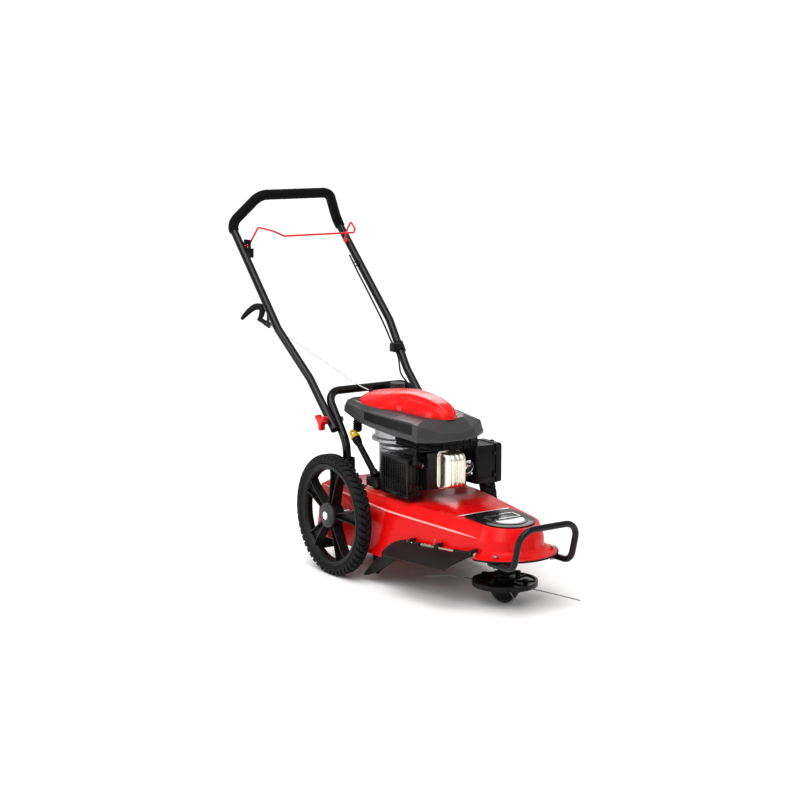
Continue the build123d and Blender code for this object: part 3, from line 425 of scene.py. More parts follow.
def rubber(name, colour, rough=(0.6, 0.82), dust=(0.10, 0.09, 0.08), amount=0.35):
    """Rubber with moulding bloom and pale dust in patches."""
    tones = [(0.35, colour), (0.6, shade(colour, 1.35)), (0.9, shade(dust, amount + 0.4))]
    relief = (0.25, 0.0004)
    return layered(name, (22.0, 6.0, 0.65), (620.0, 3.0), tones, rough, relief, (dust, amount), 0.18)[0]


def metal(name, colour, rough=(0.22, 0.4), scale=60.0, depth=0.05, stretch=(1, 1, 1), stain=0.75):
    """Bare metal; stretch draws the noise out into brushing or turning marks."""
    material, tree, shader, place = new_material(name)
    mapping = add_node(tree, "Mapping", {"Scale": stretch}, {"Vector": place})
    lines = noise(tree, mapping.outputs["Vector"], scale, 5.0, 0.6)
    patches = noise(tree, place, 16.0, 5.0)
    tone = ramp(tree, patches, [(0.3, shade(colour, stain)), (0.55, colour), (0.85, shade(colour, 1.1))])
    dress_shader(tree, shader, tone, grey_ramp(tree, lines, *rough))
    shader.inputs["Metallic"].default_value = 1.0
    bump(tree, shader, lines, depth, 0.0004)
    return material


def casting(name, colour):
    """Shot-blasted die casting: coarse grain and darker patches at random."""
    material, tree, shader, place = new_material(name)
    patches = noise(tree, place, 26.0, 6.0, 0.6)
    grain = noise(tree, place, 520.0, 4.0, 0.7)
    tone = ramp(tree, patches, [(0.3, shade(colour, 0.72)), (0.55, colour), (0.8, shade(colour, 1.12))])
    dress_shader(tree, shader, tone, grey_ramp(tree, grain, 0.38, 0.6))
    shader.inputs["Metallic"].default_value = 1.0
    bump(tree, shader, grain, 0.35, 0.0006)
    return material


def foam(name):
    """Closed-cell foam: small open cells and a matt skin."""
    material, tree, shader, place = new_material(name)
    cells = add_node(tree, "TexVoronoi", {"Scale": 620.0}, {"Vector": place})
    patches = noise(tree, place, 30.0, 5.0)
    tone = ramp(tree, patches, [(0.3, (0.004,) * 3), (0.6, (0.007,) * 3), (0.9, (0.016,) * 3)])
    dress_shader(tree, shader, tone, grey_ramp(tree, patches, 0.75, 0.92), 0.15)
    shader.inputs["Sheen Weight"].default_value = 0.03
    shader.inputs["Sheen Roughness"].default_value = 0.4
    bump(tree, shader, cells.outputs["Distance"], 0.5, 0.0006)
    return material


STRAND_SCALE = 950.0 / 6


def braid(name, colour):
    """Woven rope sheath: crossing strands."""
    material, tree, shader, place = new_material(name)
    heights = []
    for turn in (0.8, -0.8):
        mapping = add_node(tree, "Mapping", {"Rotation": (turn, 0.4, turn)}, {"Vector": place})
        values = {"Scale": STRAND_SCALE, "Distortion": 1.0}
        wave = add_node(tree, "TexWave", values, {"Vector": mapping.outputs["Vector"]})
        heights.append(wave.outputs["Fac"])
    woven = product(tree, *heights)
    tone = ramp(tree, woven, [(0.0, shade(colour, 0.55)), (0.5, colour)])
    tree.links.new(tone, shader.inputs["Base Color"])
    shader.inputs["Roughness"].default_value = 0.8
    bump(tree, shader, woven, 0.6, 0.0005)
    return material


def plain_floor():
    material, tree, shader, place = new_material("floor")
    patches = noise(tree, place, 3.0)
    tone = ramp(tree, patches, [(0.3, (0.90,) * 3), (0.7, (0.93,) * 3)])
    tree.links.new(tone, shader.inputs["Base Color"])
    shader.inputs["Roughness"].default_value = 0.75
    shader.inputs["Specular IOR Level"].default_value = 0.2
    return material


RED = (0.66, 0.004, 0.005)
M = {
    "deck_red": paint("enamel_red", RED, (0.24, 0.34), 0.06, (0.9, 0.25, 0.2), 0.3),
    "tube_black": paint("enamel_black", (0.005, 0.005, 0.0055), (0.14, 0.24), 0.2, (0.05, 0.05, 0.05), 0.3),
    "frame_black": paint("satin_black", (0.01, 0.01, 0.0105), (0.32, 0.46), 0.15, (0.1, 0.1, 0.1), 0.4),
    "engine_black": paint("engine_black", (0.008, 0.008, 0.0085), (0.25, 0.4), 0.2, (0.12, 0.12, 0.12), 0.4),
    "guard_black": paint("guard_black", (0.006, 0.006, 0.0065), (0.22, 0.34), 0.15, (0.14, 0.14, 0.14), 0.4),
    "fastener_steel": metal("zinc_plate", (0.46, 0.45, 0.43), (0.25, 0.4), 240.0),
    "zinc_rod": metal("yellow_zinc", (0.66, 0.58, 0.44), (0.16, 0.3), 320.0, 0.05, (0.2, 1, 1)),
    "axle_steel": metal("ground_steel", (0.5, 0.5, 0.5), (0.2, 0.35), 260.0, 0.05, (1, 0.1, 1)),
    "bearing_steel": metal("spring_steel", (0.42, 0.41, 0.4), (0.2, 0.35), 260.0),
    "silencer_steel": metal("burnt_steel", (0.16, 0.13, 0.11), (0.35, 0.55), 90.0, 0.12),
    "chrome_cover": metal("nickel_plate", (0.80, 0.76, 0.66), (0.16, 0.26), 45.0, 0.06, (1, 1, 0.3), 0.9),
    "cast_alu": casting("cast_aluminium", (0.62, 0.62, 0.64)),
    "tyre": rubber("tyre_rubber", (0.008, 0.008, 0.009), (0.55, 0.75), (0.07, 0.07, 0.073), 0.18),
    "rubber_black": rubber("sheet_rubber", (0.006, 0.006, 0.006), (0.5, 0.75)),
    "belt_rubber": rubber("belt_rubber", (0.012, 0.012, 0.012)),
    "cable_black": rubber("cable_sheath", (0.008, 0.008, 0.008), (0.35, 0.5), (0.06, 0.06, 0.06), 0.2),
    "rim_black": plastic("rim_plastic", (0.011, 0.010, 0.010), (0.3, 0.45), 700.0, 0.12, 0.5),
    "cap_black": plastic("cap_plastic", (0.045, 0.045, 0.048), (0.25, 0.4), 700.0, 0.1),
    "cap_grey": plastic("cap_grey", (0.05, 0.05, 0.053), (0.3, 0.45), 700.0, 0.1),
    "black_plastic": plastic("black_plastic", (0.006, 0.006, 0.0065), (0.35, 0.5)),
    "disc_black": plastic("nylon_black", (0.007, 0.007, 0.007), (0.26, 0.42), 500.0, 0.12, 0.5),
    "deflector_dark": plastic("deflector_plastic", (0.018, 0.011, 0.012), (0.3, 0.45), 500.0, 0.12, 0.4),
    "shroud_grey": plastic("shroud_plastic", (0.046, 0.046, 0.048), (0.3, 0.42), 1100.0, 0.22, 0.35, 0.45),
    "badge_black": plastic("badge_plastic", (0.010, 0.010, 0.011), (0.12, 0.2), 300.0, 0.03, 0.3),
    "line_grey": plastic("nylon_line", (0.16, 0.16, 0.165), (0.3, 0.45), 500.0, 0.1),
    "knob_red": paint("knob_red", (0.62, 0.004, 0.005), (0.2, 0.3), 0.3, (0.9, 0.2, 0.2), 0.2),
    "cover_red": paint("cover_red", (0.74, 0.006, 0.005), (0.22, 0.32), 0.15, (0.95, 0.3, 0.25), 0.25, 0.03),
    "bail_red": paint("bail_red", (0.66, 0.005, 0.007), (0.2, 0.3), 0.4, (0.5, 0.4, 0.4), 0.3),
    "dipstick_yellow": paint("cap_yellow", (0.85, 0.56, 0.01), (0.2, 0.35), 0.2, (0.95, 0.8, 0.4), 0.2),
    "foam_black": foam("foam"),
    "rope_white": braid("rope_braid", (0.8, 0.8, 0.79)),
}
DARK_CASTING = casting("dark_casting", (0.05, 0.05, 0.052))
WHITE_INLAY = paint("white_inlay", (0.82, 0.82, 0.82), (0.2, 0.3), 0.4, (0.9, 0.9, 0.9), 0.1)
# Light pink enamel for the shoulder bead: a painted highlight along the deck's crease, not the enamel's own
# colour.
PAINTED_HIGHLIGHT_RED = paint("enamel_painted_highlight", (0.92, 0.36, 0.31), (0.12, 0.22), 0.5, (0.95, 0.7, 0.62), 0.7)
SILVER = metal("bright_trim", (0.85, 0.85, 0.86), (0.08, 0.2), 120.0, 0.02)
EDGE_BLACK = rubber("edge_trim", (0.008, 0.007, 0.007), (0.4, 0.55))


# ---------- wheels ----------
WHEEL_Z = 178.0
WHEEL_Y = 225.0
LUGS = 52
# top and bottom of a tread lug across half the tyre: (top radius, top offset, base radius, base offset)
LUG_STATIONS = (
    (178.0, 1.0, 172.0, 1.0),
    (178.0, 8.0, 172.0, 8.0),
    (177.4, 13.5, 171.0, 13.0),
    (174.8, 18.0, 169.0, 16.0),
    (169.2, 20.7, 165.0, 18.0),
    (162.5, 20.4, 159.0, 18.5),
)


def wheel_at(side, radius, angle, out):
    x, z = polar(radius, angle, 0.0, WHEEL_Z)
    return at(x, side * (WHEEL_Y + out), z)


def wheel_ring(shape, side, profile, steps=120, closed=True):
    """(radius, offset) profile turned about the axle; one that isn't closed ends in flat discs."""
    rows = []
    for radius, out in profile:
        rows.append([wheel_at(side, radius, 360.0 * step / steps, out) for step in range(steps)])
    shape.grid(rows, wrap=True, ends=closed, caps=not closed)


def tyre(side, name):
    shape = Shape()
    half = [(149.5, 10), (149.5, 14), (152, 17), (155, 19), (157, 19.6), (158, 18.8), (163, 19.4)]
    half += [(168, 17.6), (172.2, 13.5), (173.6, 7)]
    profile = half + [(173.8, 0)] + [(radius, -out) for radius, out in reversed(half)]
    wheel_ring(shape, side, profile)
    pitch = 360.0 / LUGS
    for index in range(LUGS):
        for hand in (-1, 1):
            middle = (index + (0.5 if hand > 0 else 0.0)) * pitch
            rows = []
            for place, (top, top_out, base, base_out) in enumerate(LUG_STATIONS):
                lean = middle + pitch * 0.16 * place
                half_top = pitch * (0.37 - 0.015 * place)
                half_base = half_top + pitch * 0.05
                ring = [(base, -half_base, base_out), (top, -half_top, top_out)]
                ring += [(top, half_top, top_out), (base, half_base, base_out)]
                rows.append([wheel_at(side, radius, lean + turn, hand * out) for radius, turn, out in ring])
            shape.grid(rows, wrap=True, caps=True)
    shape.finish("tyre_tread_" + name, 30, "wheel_" + name, "tyre", ["tyre_" + name])


# Spoke from the hub outwards: radius, half width and half depth.
SPOKE = (
    (28, 9.0, 17.0), (50, 10.5, 16.5), (80, 13.5, 15.5), (108, 17.0, 14.5), (124, 21.0, 14.0),
    (135, 27.0, 13.5),
)


def spoke(shape, side, angle):
    """Two flared ribs with a recessed web between them."""
    rib, web = 4.6, 2.2

    def section(radius, ring):
        turn = math.radians(angle)
        row = []
        for across, out in ring:
            x = radius * math.cos(turn) - across * math.sin(turn)
            z = radius * math.sin(turn) + across * math.cos(turn)
            row.append(at(x, side * (WHEEL_Y + out), WHEEL_Z + z))
        return row

    for hand in (-1, 1):
        rows = []
        for radius, half, depth in SPOKE:
            outer, inner = hand * half, hand * (half - rib)
            ring = [(outer, -depth), (outer, depth), (inner, depth - 0.6), (inner, -depth + 0.6)]
            rows.append(section(radius, ring))
        shape.grid(rows, wrap=True, caps=True)
    rows = []
    for radius, half, depth in SPOKE:
        reach = half - rib / 2
        rows.append(section(radius, [(-reach, -web), (-reach, web), (reach, web), (reach, -web)]))
    shape.grid(rows, wrap=True, caps=True)


def rim(side, name):
    shape = Shape()
    half = [(131.5, 5), (133.5, 9), (137, 14), (141, 15.2), (145, 15.6), (147, 17.4)]
    half += [(149.5, 18.2), (151, 17), (150.5, 14)]
    profile = half + [(149, 0)] + [(radius, -out) for radius, out in reversed(half)]
    wheel_ring(shape, side, profile)
    hub = [(6.5, 23), (15, 23), (19, 21), (24, 18.5), (34, 17.5), (36, 15.5), (36, -15.5)]
    hub += [(34, -17.5), (24, -19), (19, -24), (6.5, -25)]
    wheel_ring(shape, side, hub, 64)
    for index in range(5):
        spoke(shape, side, 6.0 - index * 72.0)
    piece = bevel(shape.piece("rim_spokes_" + name, 35), 1.2)
    finish_piece(piece, "wheel_" + name, "rim_black", ["rim_" + name])


def hub_cap(side, name):
    disc, badge = Shape(), Shape()
    profile = [(0.2, 17.8), (36, 17.8), (36.6, 19), (36.4, 22), (34.5, 24.8), (31, 26.4), (30, 25.8)]
    profile += [(28.5, 26.0), (27.5, 27.2), (20, 28.7), (15, 29.3), (13.6, 29.3), (13, 28.2), (0.2, 28.2)]
    wheel_ring(disc, side, profile, 72, closed=False)
    body = "wheel_" + name
    disc.finish("hub_disc_" + name, 30, body, "cap_black", ["hub_cap_" + name])
    profile = [(12.6, 28.0), (12.4, 29.0), (11.2, 29.6), (8.5, 29.2), (7.6, 29.8), (0.2, 29.95)]
    wheel_ring(badge, side, profile, 48, closed=False)
    badge.finish("hub_centre_" + name, 30, body, "fastener_steel", material=SILVER)


# ---------- tubes ----------
UPPER_ROWS = (
    (-66.0, -176.0, 412.5), (-203.0, -176.0, 548.0), (-340.0, -204.0, 685.0), (-634.0, -196.0, 984.0),
    (-571.0, -128.0, 1076.0), (-571.0, 128.0, 1076.0), (-634.0, 196.0, 984.0), (-340.0, 204.0, 685.0),
    (-203.0, 176.0, 548.0), (-66.0, 176.0, 412.5),
)
LOWER_ROWS = (
    (-38.0, -150.6, 253.0), (-42.0, -150.6, 374.0), (-150.0, -150.6, 514.0),
    (-150.0, 150.6, 514.0), (-42.0, 150.6, 374.0), (-38.0, 150.6, 253.0),
)
BUMPER_ROWS = (
    (586, -98, 139), (690, -98, 139), (720, -98, 253), (720, 98, 253), (690, 98, 139), (586, 98, 139),
)
FOAM_ROWS = (
    (-611.0, -196.6, 960.6), (-634.0, -196.0, 984.0), (-571.0, -128.0, 1076.0),
    (-571.0, 128.0, 1076.0), (-634.0, 196.0, 984.0), (-611.0, 196.6, 960.6),
)
BAIL_ROWS = (
    (-560, -203, 921), (-560, -176, 921), (-517, -166, 980), (-468, -140, 970), (-473, -100, 953),
    (-473, 158, 953), (-488, 172, 964), (-512, 172, 984), (-532, 172, 962), (-560, 178, 921),
    (-560, 203, 921),
)


def tube_piece(name, path, radius, body, slot, replaced, steps=28, smooth=50):
    shape = Shape()
    shape.tube(path, radius, steps)
    return finish_piece(shape.piece(name, smooth), body, slot, replaced)


PLUG_R = 11.8


def plug(shape, end, inward):
    """Domed plastic plug in a tube's open end."""
    path = [end + inward * reach * MM for reach in (9.0, 0.0, -2.4, -3.4)]
    shape.tube(path, [PLUG_R, PLUG_R + 0.9, PLUG_R * 0.85, PLUG_R * 0.3], 24)


def handle_tubes():
    path = bent(UPPER_ROWS, (120, 120, 34, 46, 46, 34, 120, 120), 14)
    tube_piece("upper_tube", path, 12.5, "folding_handle", "tube_black", ["upper_handle"])
    ends = Shape()
    plug(ends, path[0], (path[1] - path[0]).normalized())
    plug(ends, path[-1], (path[-2] - path[-1]).normalized())
    finish_piece(ends.piece("tube_plugs"), "folding_handle", "black_plastic")
    path = bent(LOWER_ROWS, (90, 44, 44, 90), 14)
    tube_piece("lower_tube", path, 12.5, "chassis", "tube_black", ["lower_handle"])
    path = bent(BUMPER_ROWS, (36, 46, 46, 36), 18)
    tube_piece("bumper_tube", path, 9.0, "chassis", "tube_black", ["front_bumper"])
    path = bent(BAIL_ROWS, (8, 10, 12, 12, 6, 6, 6, 8, 8), 8)
    tube_piece("bail_wire", path, 3.0, "bail", "bail_red", ["bail"], 14)


def foam_sleeve():
    """Foam grip with soft rolled ends and faint squeeze marks."""
    path = resampled(bent(FOAM_ROWS, (34, 46, 46, 34), 16), 150)
    radii = []
    for index in range(len(path)):
        end = min(index, len(path) - 1 - index)
        roll = 13.2 + 2.8 * min(1.0, math.sqrt(end / 3.0))
        radii.append(roll + 0.25 * math.sin(index * 0.9) * math.sin(index * 0.23))
    shape = Shape()
    shape.tube(path, radii, 36)
    piece = shape.piece("foam_sleeve", 60)
    finish_piece(piece, "folding_handle", "foam_black", ["foam_grip"])


def pivot_bead():
    """Round red bead at the bail's left pivot."""
    shape = Shape()
    profile = [(0.2, -6), (5, -5.4), (7, -2.5), (7.4, 0), (7, 2.5), (5, 5.4), (0.2, 6)]
    shape.turned(profile, at(-560, 182, 921), "Y", 32)
    shape.finish("bail_bead", 60, "bail", "bail_red")


# ---------- cables and rope ----------
CABLE_UPPER = (
    (-536.0, 182.0, 876.0), (-500.0, 184.5, 832.0), (-458.0, 185.0, 790.0), (-415.0, 185.5, 746.0),
    (-372.0, 185.0, 703.0), (-330.0, 182.5, 662.0), (-292.0, 175.0, 629.0), (-259.0, 168.0, 608.0),
)
CABLE_LOWER = (
    (-258.5, 167.9, 607.7), (-228.0, 161.0, 587.0), (-205.0, 149.0, 563.0), (-182.0, 136.0, 544.0),
    (-150.0, 125.0, 532.5), (-119.0, 119.0, 522.0), (-105.0, 124.0, 501.0), (-99.0, 127.5, 473.0),
    (-95.0, 126.0, 445.0), (-89.0, 119.0, 418.0), (-79.0, 104.0, 395.0), (-69.5, 88.5, 382.5),
)
ROPE_ROWS = (
    (-437.0, -186.0, 690.0), (-395.0, -166.0, 668.5), (-350.0, -145.0, 644.5), (-303.0, -123.0, 619.0),
    (-256.0, -100.5, 592.5), (-208.0, -77.0, 564.0), (-158.0, -53.0, 534.0), (-110.0, -32.0, 513.5),
    (-72.0, -16.0, 506.0),
)
LEAD_ROWS = (
    (281.0, -131.0, 367.0), (280.0, -131.0, 385.0), (274.0, -121.0, 402.0), (263.0, -108.0, 414.0),
    (245.0, -98.0, 422.0),
)


def cables():
    path = spline_points(CABLE_UPPER)
    tube_piece("cable_upper", path, 2.75, "folding_handle", "cable_black", ["brake_cable_upper"], 16, 60)
    path = spline_points(CABLE_LOWER)
    piece = tube_piece("cable_lower", path, 2.75, None, "cable_black", ["brake_cable_lower"], 16, 60)
    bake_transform(piece)
    path = spline_points(ROPE_ROWS)
    piece = tube_piece("rope_run", path, 1.75, None, "rope_white", ["starter_rope"], 14, 60)
    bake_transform(piece)
    path = [grip_at(step * 1.5) for step in range(8)]
    piece = tube_piece("rope_stub", path, 1.75, None, "rope_white", (), 14, 60)
    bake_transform(piece)
    shape = Shape()
    shape.tube(spline_points(LEAD_ROWS), 3.5, 16)
    boot = ((-134.5, 369), (-133, 368), (-127, 365), (-118, 361), (-112.4, 358.3))
    shape.tube([at(PLUG_X, y, z) for y, z in boot], [5, 9.4, 10.4, 9.8, 9.2], 24)
    collar = [(PLUG_X, -129, 364), (280.6, -130, 372), (280.2, -130, 380), (279.5, -130, 386)]
    shape.tube(points(collar), [9, 8, 6.4, 4.6], 20)
    shape.finish("lead_and_boot", 50, "chassis", "cable_black", ["plug_lead"])
    shape = Shape()
    shape.turned([(2.2, -6), (5.2, -6), (6, -4), (6, 4), (5.2, 6), (2.2, 6)], at(-98, -27, 511.5), "X", 24)
    shape.finish("rope_grommet", 40, "chassis", "black_plastic")


# ---------- starter grip ----------
GRIP_AXIS = Vector((-42.0, -20.0, 21.5)).normalized()


def grip_at(distance):
    """Point on the pulled rope's line, measured from the eyelet."""
    return at(-437.0, -186.0, 690.0) + GRIP_AXIS * distance * MM


def starter_grip():
    shape = Shape()
    stem = [grip_at(d) for d in (6.4, 8, 10, 14, 18, 22, 28, 34)]
    shape.tube(stem, [5.2, 6.6, 7.4, 6.9, 7.4, 6.9, 7.4, 6.5], 24)
    guides = [grip_at(28), at(-463, -187, 722), at(-471, -184, 737), at(-484, -199, 738), at(-494, -217, 724)]
    guides += [at(-504, -238, 700)]
    line = catmull(guides, 10)
    radii = []
    for index in range(len(line)):
        share = index / (len(line) - 1)
        radii.append(5.4 + 5.0 * math.sin(math.pi * min(1.0, share * 1.05)) ** 0.6)
    radii[0], radii[-1] = 2.0, 2.2
    shape.tube(line, radii, 24)
    shape.finish("starter_handle", 60, "starter_grip", "black_plastic", ["starter_grip"])


def catmull(guides, steps):
    """Smooth line through the guide points, for moulded forms."""
    line = []
    chain = [guides[0]] + list(guides) + [guides[-1]]
    for a, b, c, d in zip(chain, chain[1:], chain[2:], chain[3:]):
        for step in range(steps):
            t = step / steps
            line.append(0.5 * (
                2 * b + (c - a) * t
                + (2 * a - 5 * b + 4 * c - d) * t**2
                + (3 * b - a - 3 * c + d) * t**3
            ))
    line.append(guides[-1])
    return line


# ---------- nose badge and deck trim ----------
NOSE_TURN = math.atan2(21.0, 398.0)
NOSE_Z = 247.0 - 21.0 * (SPINDLE_X - 262.0) / 398.0


def nose_at(u, v, lift):
    """Point on the sloping top of the nose: u forward and v left of the spindle axis."""
    x = SPINDLE_X + u * math.cos(NOSE_TURN) + lift * math.sin(NOSE_TURN)
    return at(x, v, NOSE_Z - u * math.sin(NOSE_TURN) + lift * math.cos(NOSE_TURN))


def slab(shape, outline, low, high, shrink=0.0):
    """Flat plate on the nose; the top outline is drawn in by a share."""
    count = len(outline)
    mid_u = sum(u for u, v in outline) / count
    mid_v = sum(v for u, v in outline) / count
    rows = []
    for share, lift in ((0, low), (0, high - 1.2), (shrink * 0.4, high - 0.3), (shrink, high)):
        rows.append([nose_at(u + (mid_u - u) * share, v + (mid_v - v) * share, lift) for u, v in outline])
    shape.grid(rows, wrap=True, caps=True)


def badge_outline(scale, back, rear_half):
    """Straight tail edge and a round front."""
    outline = [(back, -rear_half), (back * 0.5, -rear_half * 1.02)]
    for step in range(25):
        turn = math.radians(-90 + step * 7.5)
        outline.append((4 + (80 * math.cos(turn)) * scale, 80 * math.sin(turn) * scale))
    outline += [(back * 0.5, rear_half * 1.02), (back, rear_half)]
    outline += [(back - 5, rear_half * 0.4), (back - 5, -rear_half * 0.4)]
    return outline


def nose_badge():
    shape = Shape()
    slab(shape, badge_outline(1.0, -84, 80), 0.3, 4.0, 0.03)
    slab(shape, badge_outline(0.74, -62, 57), 3.0, 6.2, 0.05)
    shape.finish("badge_plate", 25, "chassis", "badge_black", ["nose_badge"])
    inlay = Shape()
    crescent = []
    for step in range(17):
        turn = math.radians(-80 + step * 10)
        crescent.append((10 + 44 * math.cos(turn), 46 * math.sin(turn)))
    for step in range(17):
        turn = math.radians(80 - step * 10)
        crescent.append((8 + 12 * math.cos(turn), 42 * math.sin(turn)))
    slab(inlay, crescent, 6.0, 6.8)
    stripe = [(-98, -92), (-91, -74), (-91, 82), (-99, 86)]
    slab(inlay, stripe, 0.2, 1.0)
    inlay.finish("badge_inlay", 25, "chassis", "badge_black", material=WHITE_INLAY)
    border = Shape()
    for u0, u1, v0, v1 in ((-38, -34, -50, 50), (2, 6, -50, 50), (-38, 6, -50, -46), (-38, 6, 46, 50)):
        slab(border, [(u0, v0), (u1, v0), (u1, v1), (u0, v1)], 6.0, 8.0)
    border.finish("badge_frame", 25, "chassis", "badge_black", material=SILVER)


LIP_R = 144.0


def lip_trim():
    """Dark rubber edging round the flared nose."""
    shape = Shape()
    path = [at(*polar(LIP_R, -75 + step * 2.5, SPINDLE_X), 149.6) for step in range(61)]
    shape.tube(path, 2.6, 12)
    shape.finish("lip_edging", 60, "chassis", "rubber_black", material=EDGE_BLACK)


CREASE_Z = 228.0
CREASE_TILT = math.radians(3.15)
CREASE_HALF = 168.0
CREASE_NOSE_R = 106.0
TAPER_X = 190.0


def crease_bead():
    """Bead pressed along the deck's shoulder on each side; its light pink is a painted highlight along the
    crease.
    """
    reach = SPINDLE_X - TAPER_X
    span = math.hypot(reach, CREASE_HALF)
    turn = math.asin(CREASE_NOSE_R / span) - math.atan2(CREASE_HALF, reach)
    length = math.sqrt(span**2 - CREASE_NOSE_R**2)
    corner_x = TAPER_X + length * math.cos(turn)
    corner_y = CREASE_HALF + length * math.sin(turn)
    shape = Shape()
    for side in (-1, 1):
        line = [(-148.0, CREASE_HALF), (TAPER_X - 30, CREASE_HALF), (TAPER_X, CREASE_HALF - 2)]
        line += [(TAPER_X + 30, CREASE_HALF + 30 * math.tan(turn)), (corner_x - 6, corner_y + 0.5)]
        path = []
        for u, v in line:
            path.append(at(u * math.cos(CREASE_TILT), side * v, CREASE_Z - u * math.sin(CREASE_TILT)))
        path = resampled(path, 60)
        radii = [3.0 * min(1.0, (59 - index) / 8.0 + 0.12, index / 5.0 + 0.2) for index in range(60)]
        shape.tube(path, radii, 14)
    # The bead's light pink material paints the highlight along the crease.
    shape.finish("shoulder_bead", 60, "chassis", "deck_red", material=PAINTED_HIGHLIGHT_RED)


# ---------- engine covers ----------
DRUM_X = 40.0
DRUM_Z = 386.0
BLOWER_RING = (
    (122, -86), (236, -88), (292, -70), (304, -30), (304, 40), (286, 84), (236, 94), (122, 92),
    (112, 60), (112, -60),
)


def blower_housing():
    """Bright drum round the flywheel and the dark air duct that leads from it to the cylinder."""
    drum = Shape()
    profile = [(84, 0), (84, 60), (88, 60), (88, 48), (91, 46), (91, 42), (88, 40), (88, 12), (97, 8)]
    profile += [(97, 0), (84, 0)]
    drum.turned(profile, at(DRUM_X, 0, DRUM_Z), "Z", 72)
    for index in range(6):
        centre = at(*polar(92, 150 + index * 32, DRUM_X), DRUM_Z)
        drum.turned([(0.2, 10), (5.4, 10), (6.4, 9), (6.8, 0)], centre, "Z", 12)
    finish_piece(bevel(drum.piece("flywheel_drum", 35), 0.8), "chassis", "cast_alu")
    duct = Shape()
    rings = []
    for grow, z in ((-4, 393.5), (0, 396), (0, 404), (-3, 406), (-3, 409), (0, 411), (0, 432)):
        ring = []
        for x, y in BLOWER_RING:
            ring.append(at(x + math.copysign(grow, x - 200), y + math.copysign(grow, y), z))
        rings.append(ring)
    duct.grid(rings, wrap=True, caps=True)
    for index in range(5):
        y = -52 + index * 24
        duct.block(300, 307.5, y, y + 3, 397, 420)
    finish_piece(bevel(duct.piece("air_duct", 20), 1.2), "chassis", "black_plastic")


# Cowl outline from the rear corner along the right side, round the nose and back along the left side.
# Each point has x and y, the height of the hem, the height of the ridge, and how far the panel is sunk.
COWL = (
    (-122, -106, 466, 491, 0), (-90, -128, 460, 488, 0), (-20, -134, 445, 481, 0), (12, -134, 440, 479, 0),
    (16, -134, 439, 479, 5), (60, -134, 434, 477.5, 5), (160, -133, 428, 476, 5), (262, -132, 425, 475, 5),
    (266, -132, 425, 474.5, 0), (285, -129, 422, 470, 0), (310, -64, 420, 446, 0), (312, 24, 420, 442, 0),
    (300, 72, 421, 448, 0), (270, 117, 425, 464, 0), (160, 118, 432, 476, 0), (16, 118, 440, 480, 0),
    (-90, 116, 460, 488, 0), (-122, 94, 466, 491, 0),
)
SEAT = (
    (-112, -84), (-90, -106), (-20, -112), (12, -112), (16, -112), (60, -112), (160, -102), (222, -84),
    (226, -83), (240, -74), (268, -40), (270, 22), (262, 52), (228, 78), (160, 92), (16, 96), (-88, 94),
    (-112, 74),
)
TILT = math.radians(3.0)


def tilted_at(x, y, z):
    """Point on a level that slopes down forwards with the cowl."""
    return at(x * math.cos(TILT), y, z - x * math.sin(TILT))


def cowl_ring(inset, share, sink=0.0, seat=0.0):
    """Ring on the cowl: share runs from hem to ridge, seat from the ridge to the top cover's seat."""
    ring = []
    for (x, y, hem, ridge, depth), (seat_x, seat_y) in zip(COWL, SEAT):
        side_x = x - math.copysign(inset, x - 60) if abs(x - 60) > 180 else x
        side_y = y - math.copysign(inset + sink * depth, y)
        height = hem + (ridge - hem) * share
        seat_z = 489.5 - seat_x * math.sin(TILT)
        ring.append(at(
            side_x + (seat_x - side_x) * seat,
            side_y + (seat_y - side_y) * seat,
            height + (seat_z - height) * seat,
        ))
    return ring


def shroud():
    rings = [
        cowl_ring(12, 0.08), cowl_ring(3, -0.02), cowl_ring(0, 0.04), cowl_ring(0, 0.30), cowl_ring(2, 0.34),
        cowl_ring(2, 0.36, 0.9), cowl_ring(5.5, 0.86, 0.5), cowl_ring(6, 0.90), cowl_ring(7.5, 1.0),
        cowl_ring(9, 1.0, 0, 0.12), cowl_ring(9, 1.0, 0, 0.92), cowl_ring(9, 1.0, 0, 1.0),
        cowl_ring(9, 0.93, 0, 1.06),
    ]
    shape = Shape()
    shape.grid(rings, wrap=True, caps=True)
    piece = bevel(shape.piece("cowl", 20), 1.3, 3, 14)
    finish_piece(piece, "chassis", "shroud_grey", ["engine_shroud"])
    ribs = Shape()
    for index in range(8):
        x = -100 + index * 6.0
        add_bar(ribs, x, x + 3, -88 - index * 1.2, -64 - index * 2.4, 484.0, 491.2)
    finish_piece(bevel(ribs.piece("cowl_ribs", 20), 0.6), "chassis", "shroud_grey")
    # Black sheet laid in the sunk side panel: painted shade that darkens the recess.
    recess = Shape()
    sunk = [index for index, point in enumerate(COWL) if point[4]]
    low = cowl_ring(1.2, 0.38, 0.9)
    high = cowl_ring(4.7, 0.85, 0.5)
    recess.grid([[low[index] for index in sunk], [high[index] for index in sunk]])
    recess.finish("cowl_recess_painted_shade", 20, "chassis", "black_plastic")


def add_bar(shape, x0, x1, y0, y1, z0, z1):
    """Bar that follows the cowl's slope."""
    rows = []
    for x in (x0, x1):
        rows.append([tilted_at(x, y0, z0), tilted_at(x, y1, z0), tilted_at(x, y1, z1), tilted_at(x, y0, z1)])
    shape.grid(rows, wrap=True, caps=True)


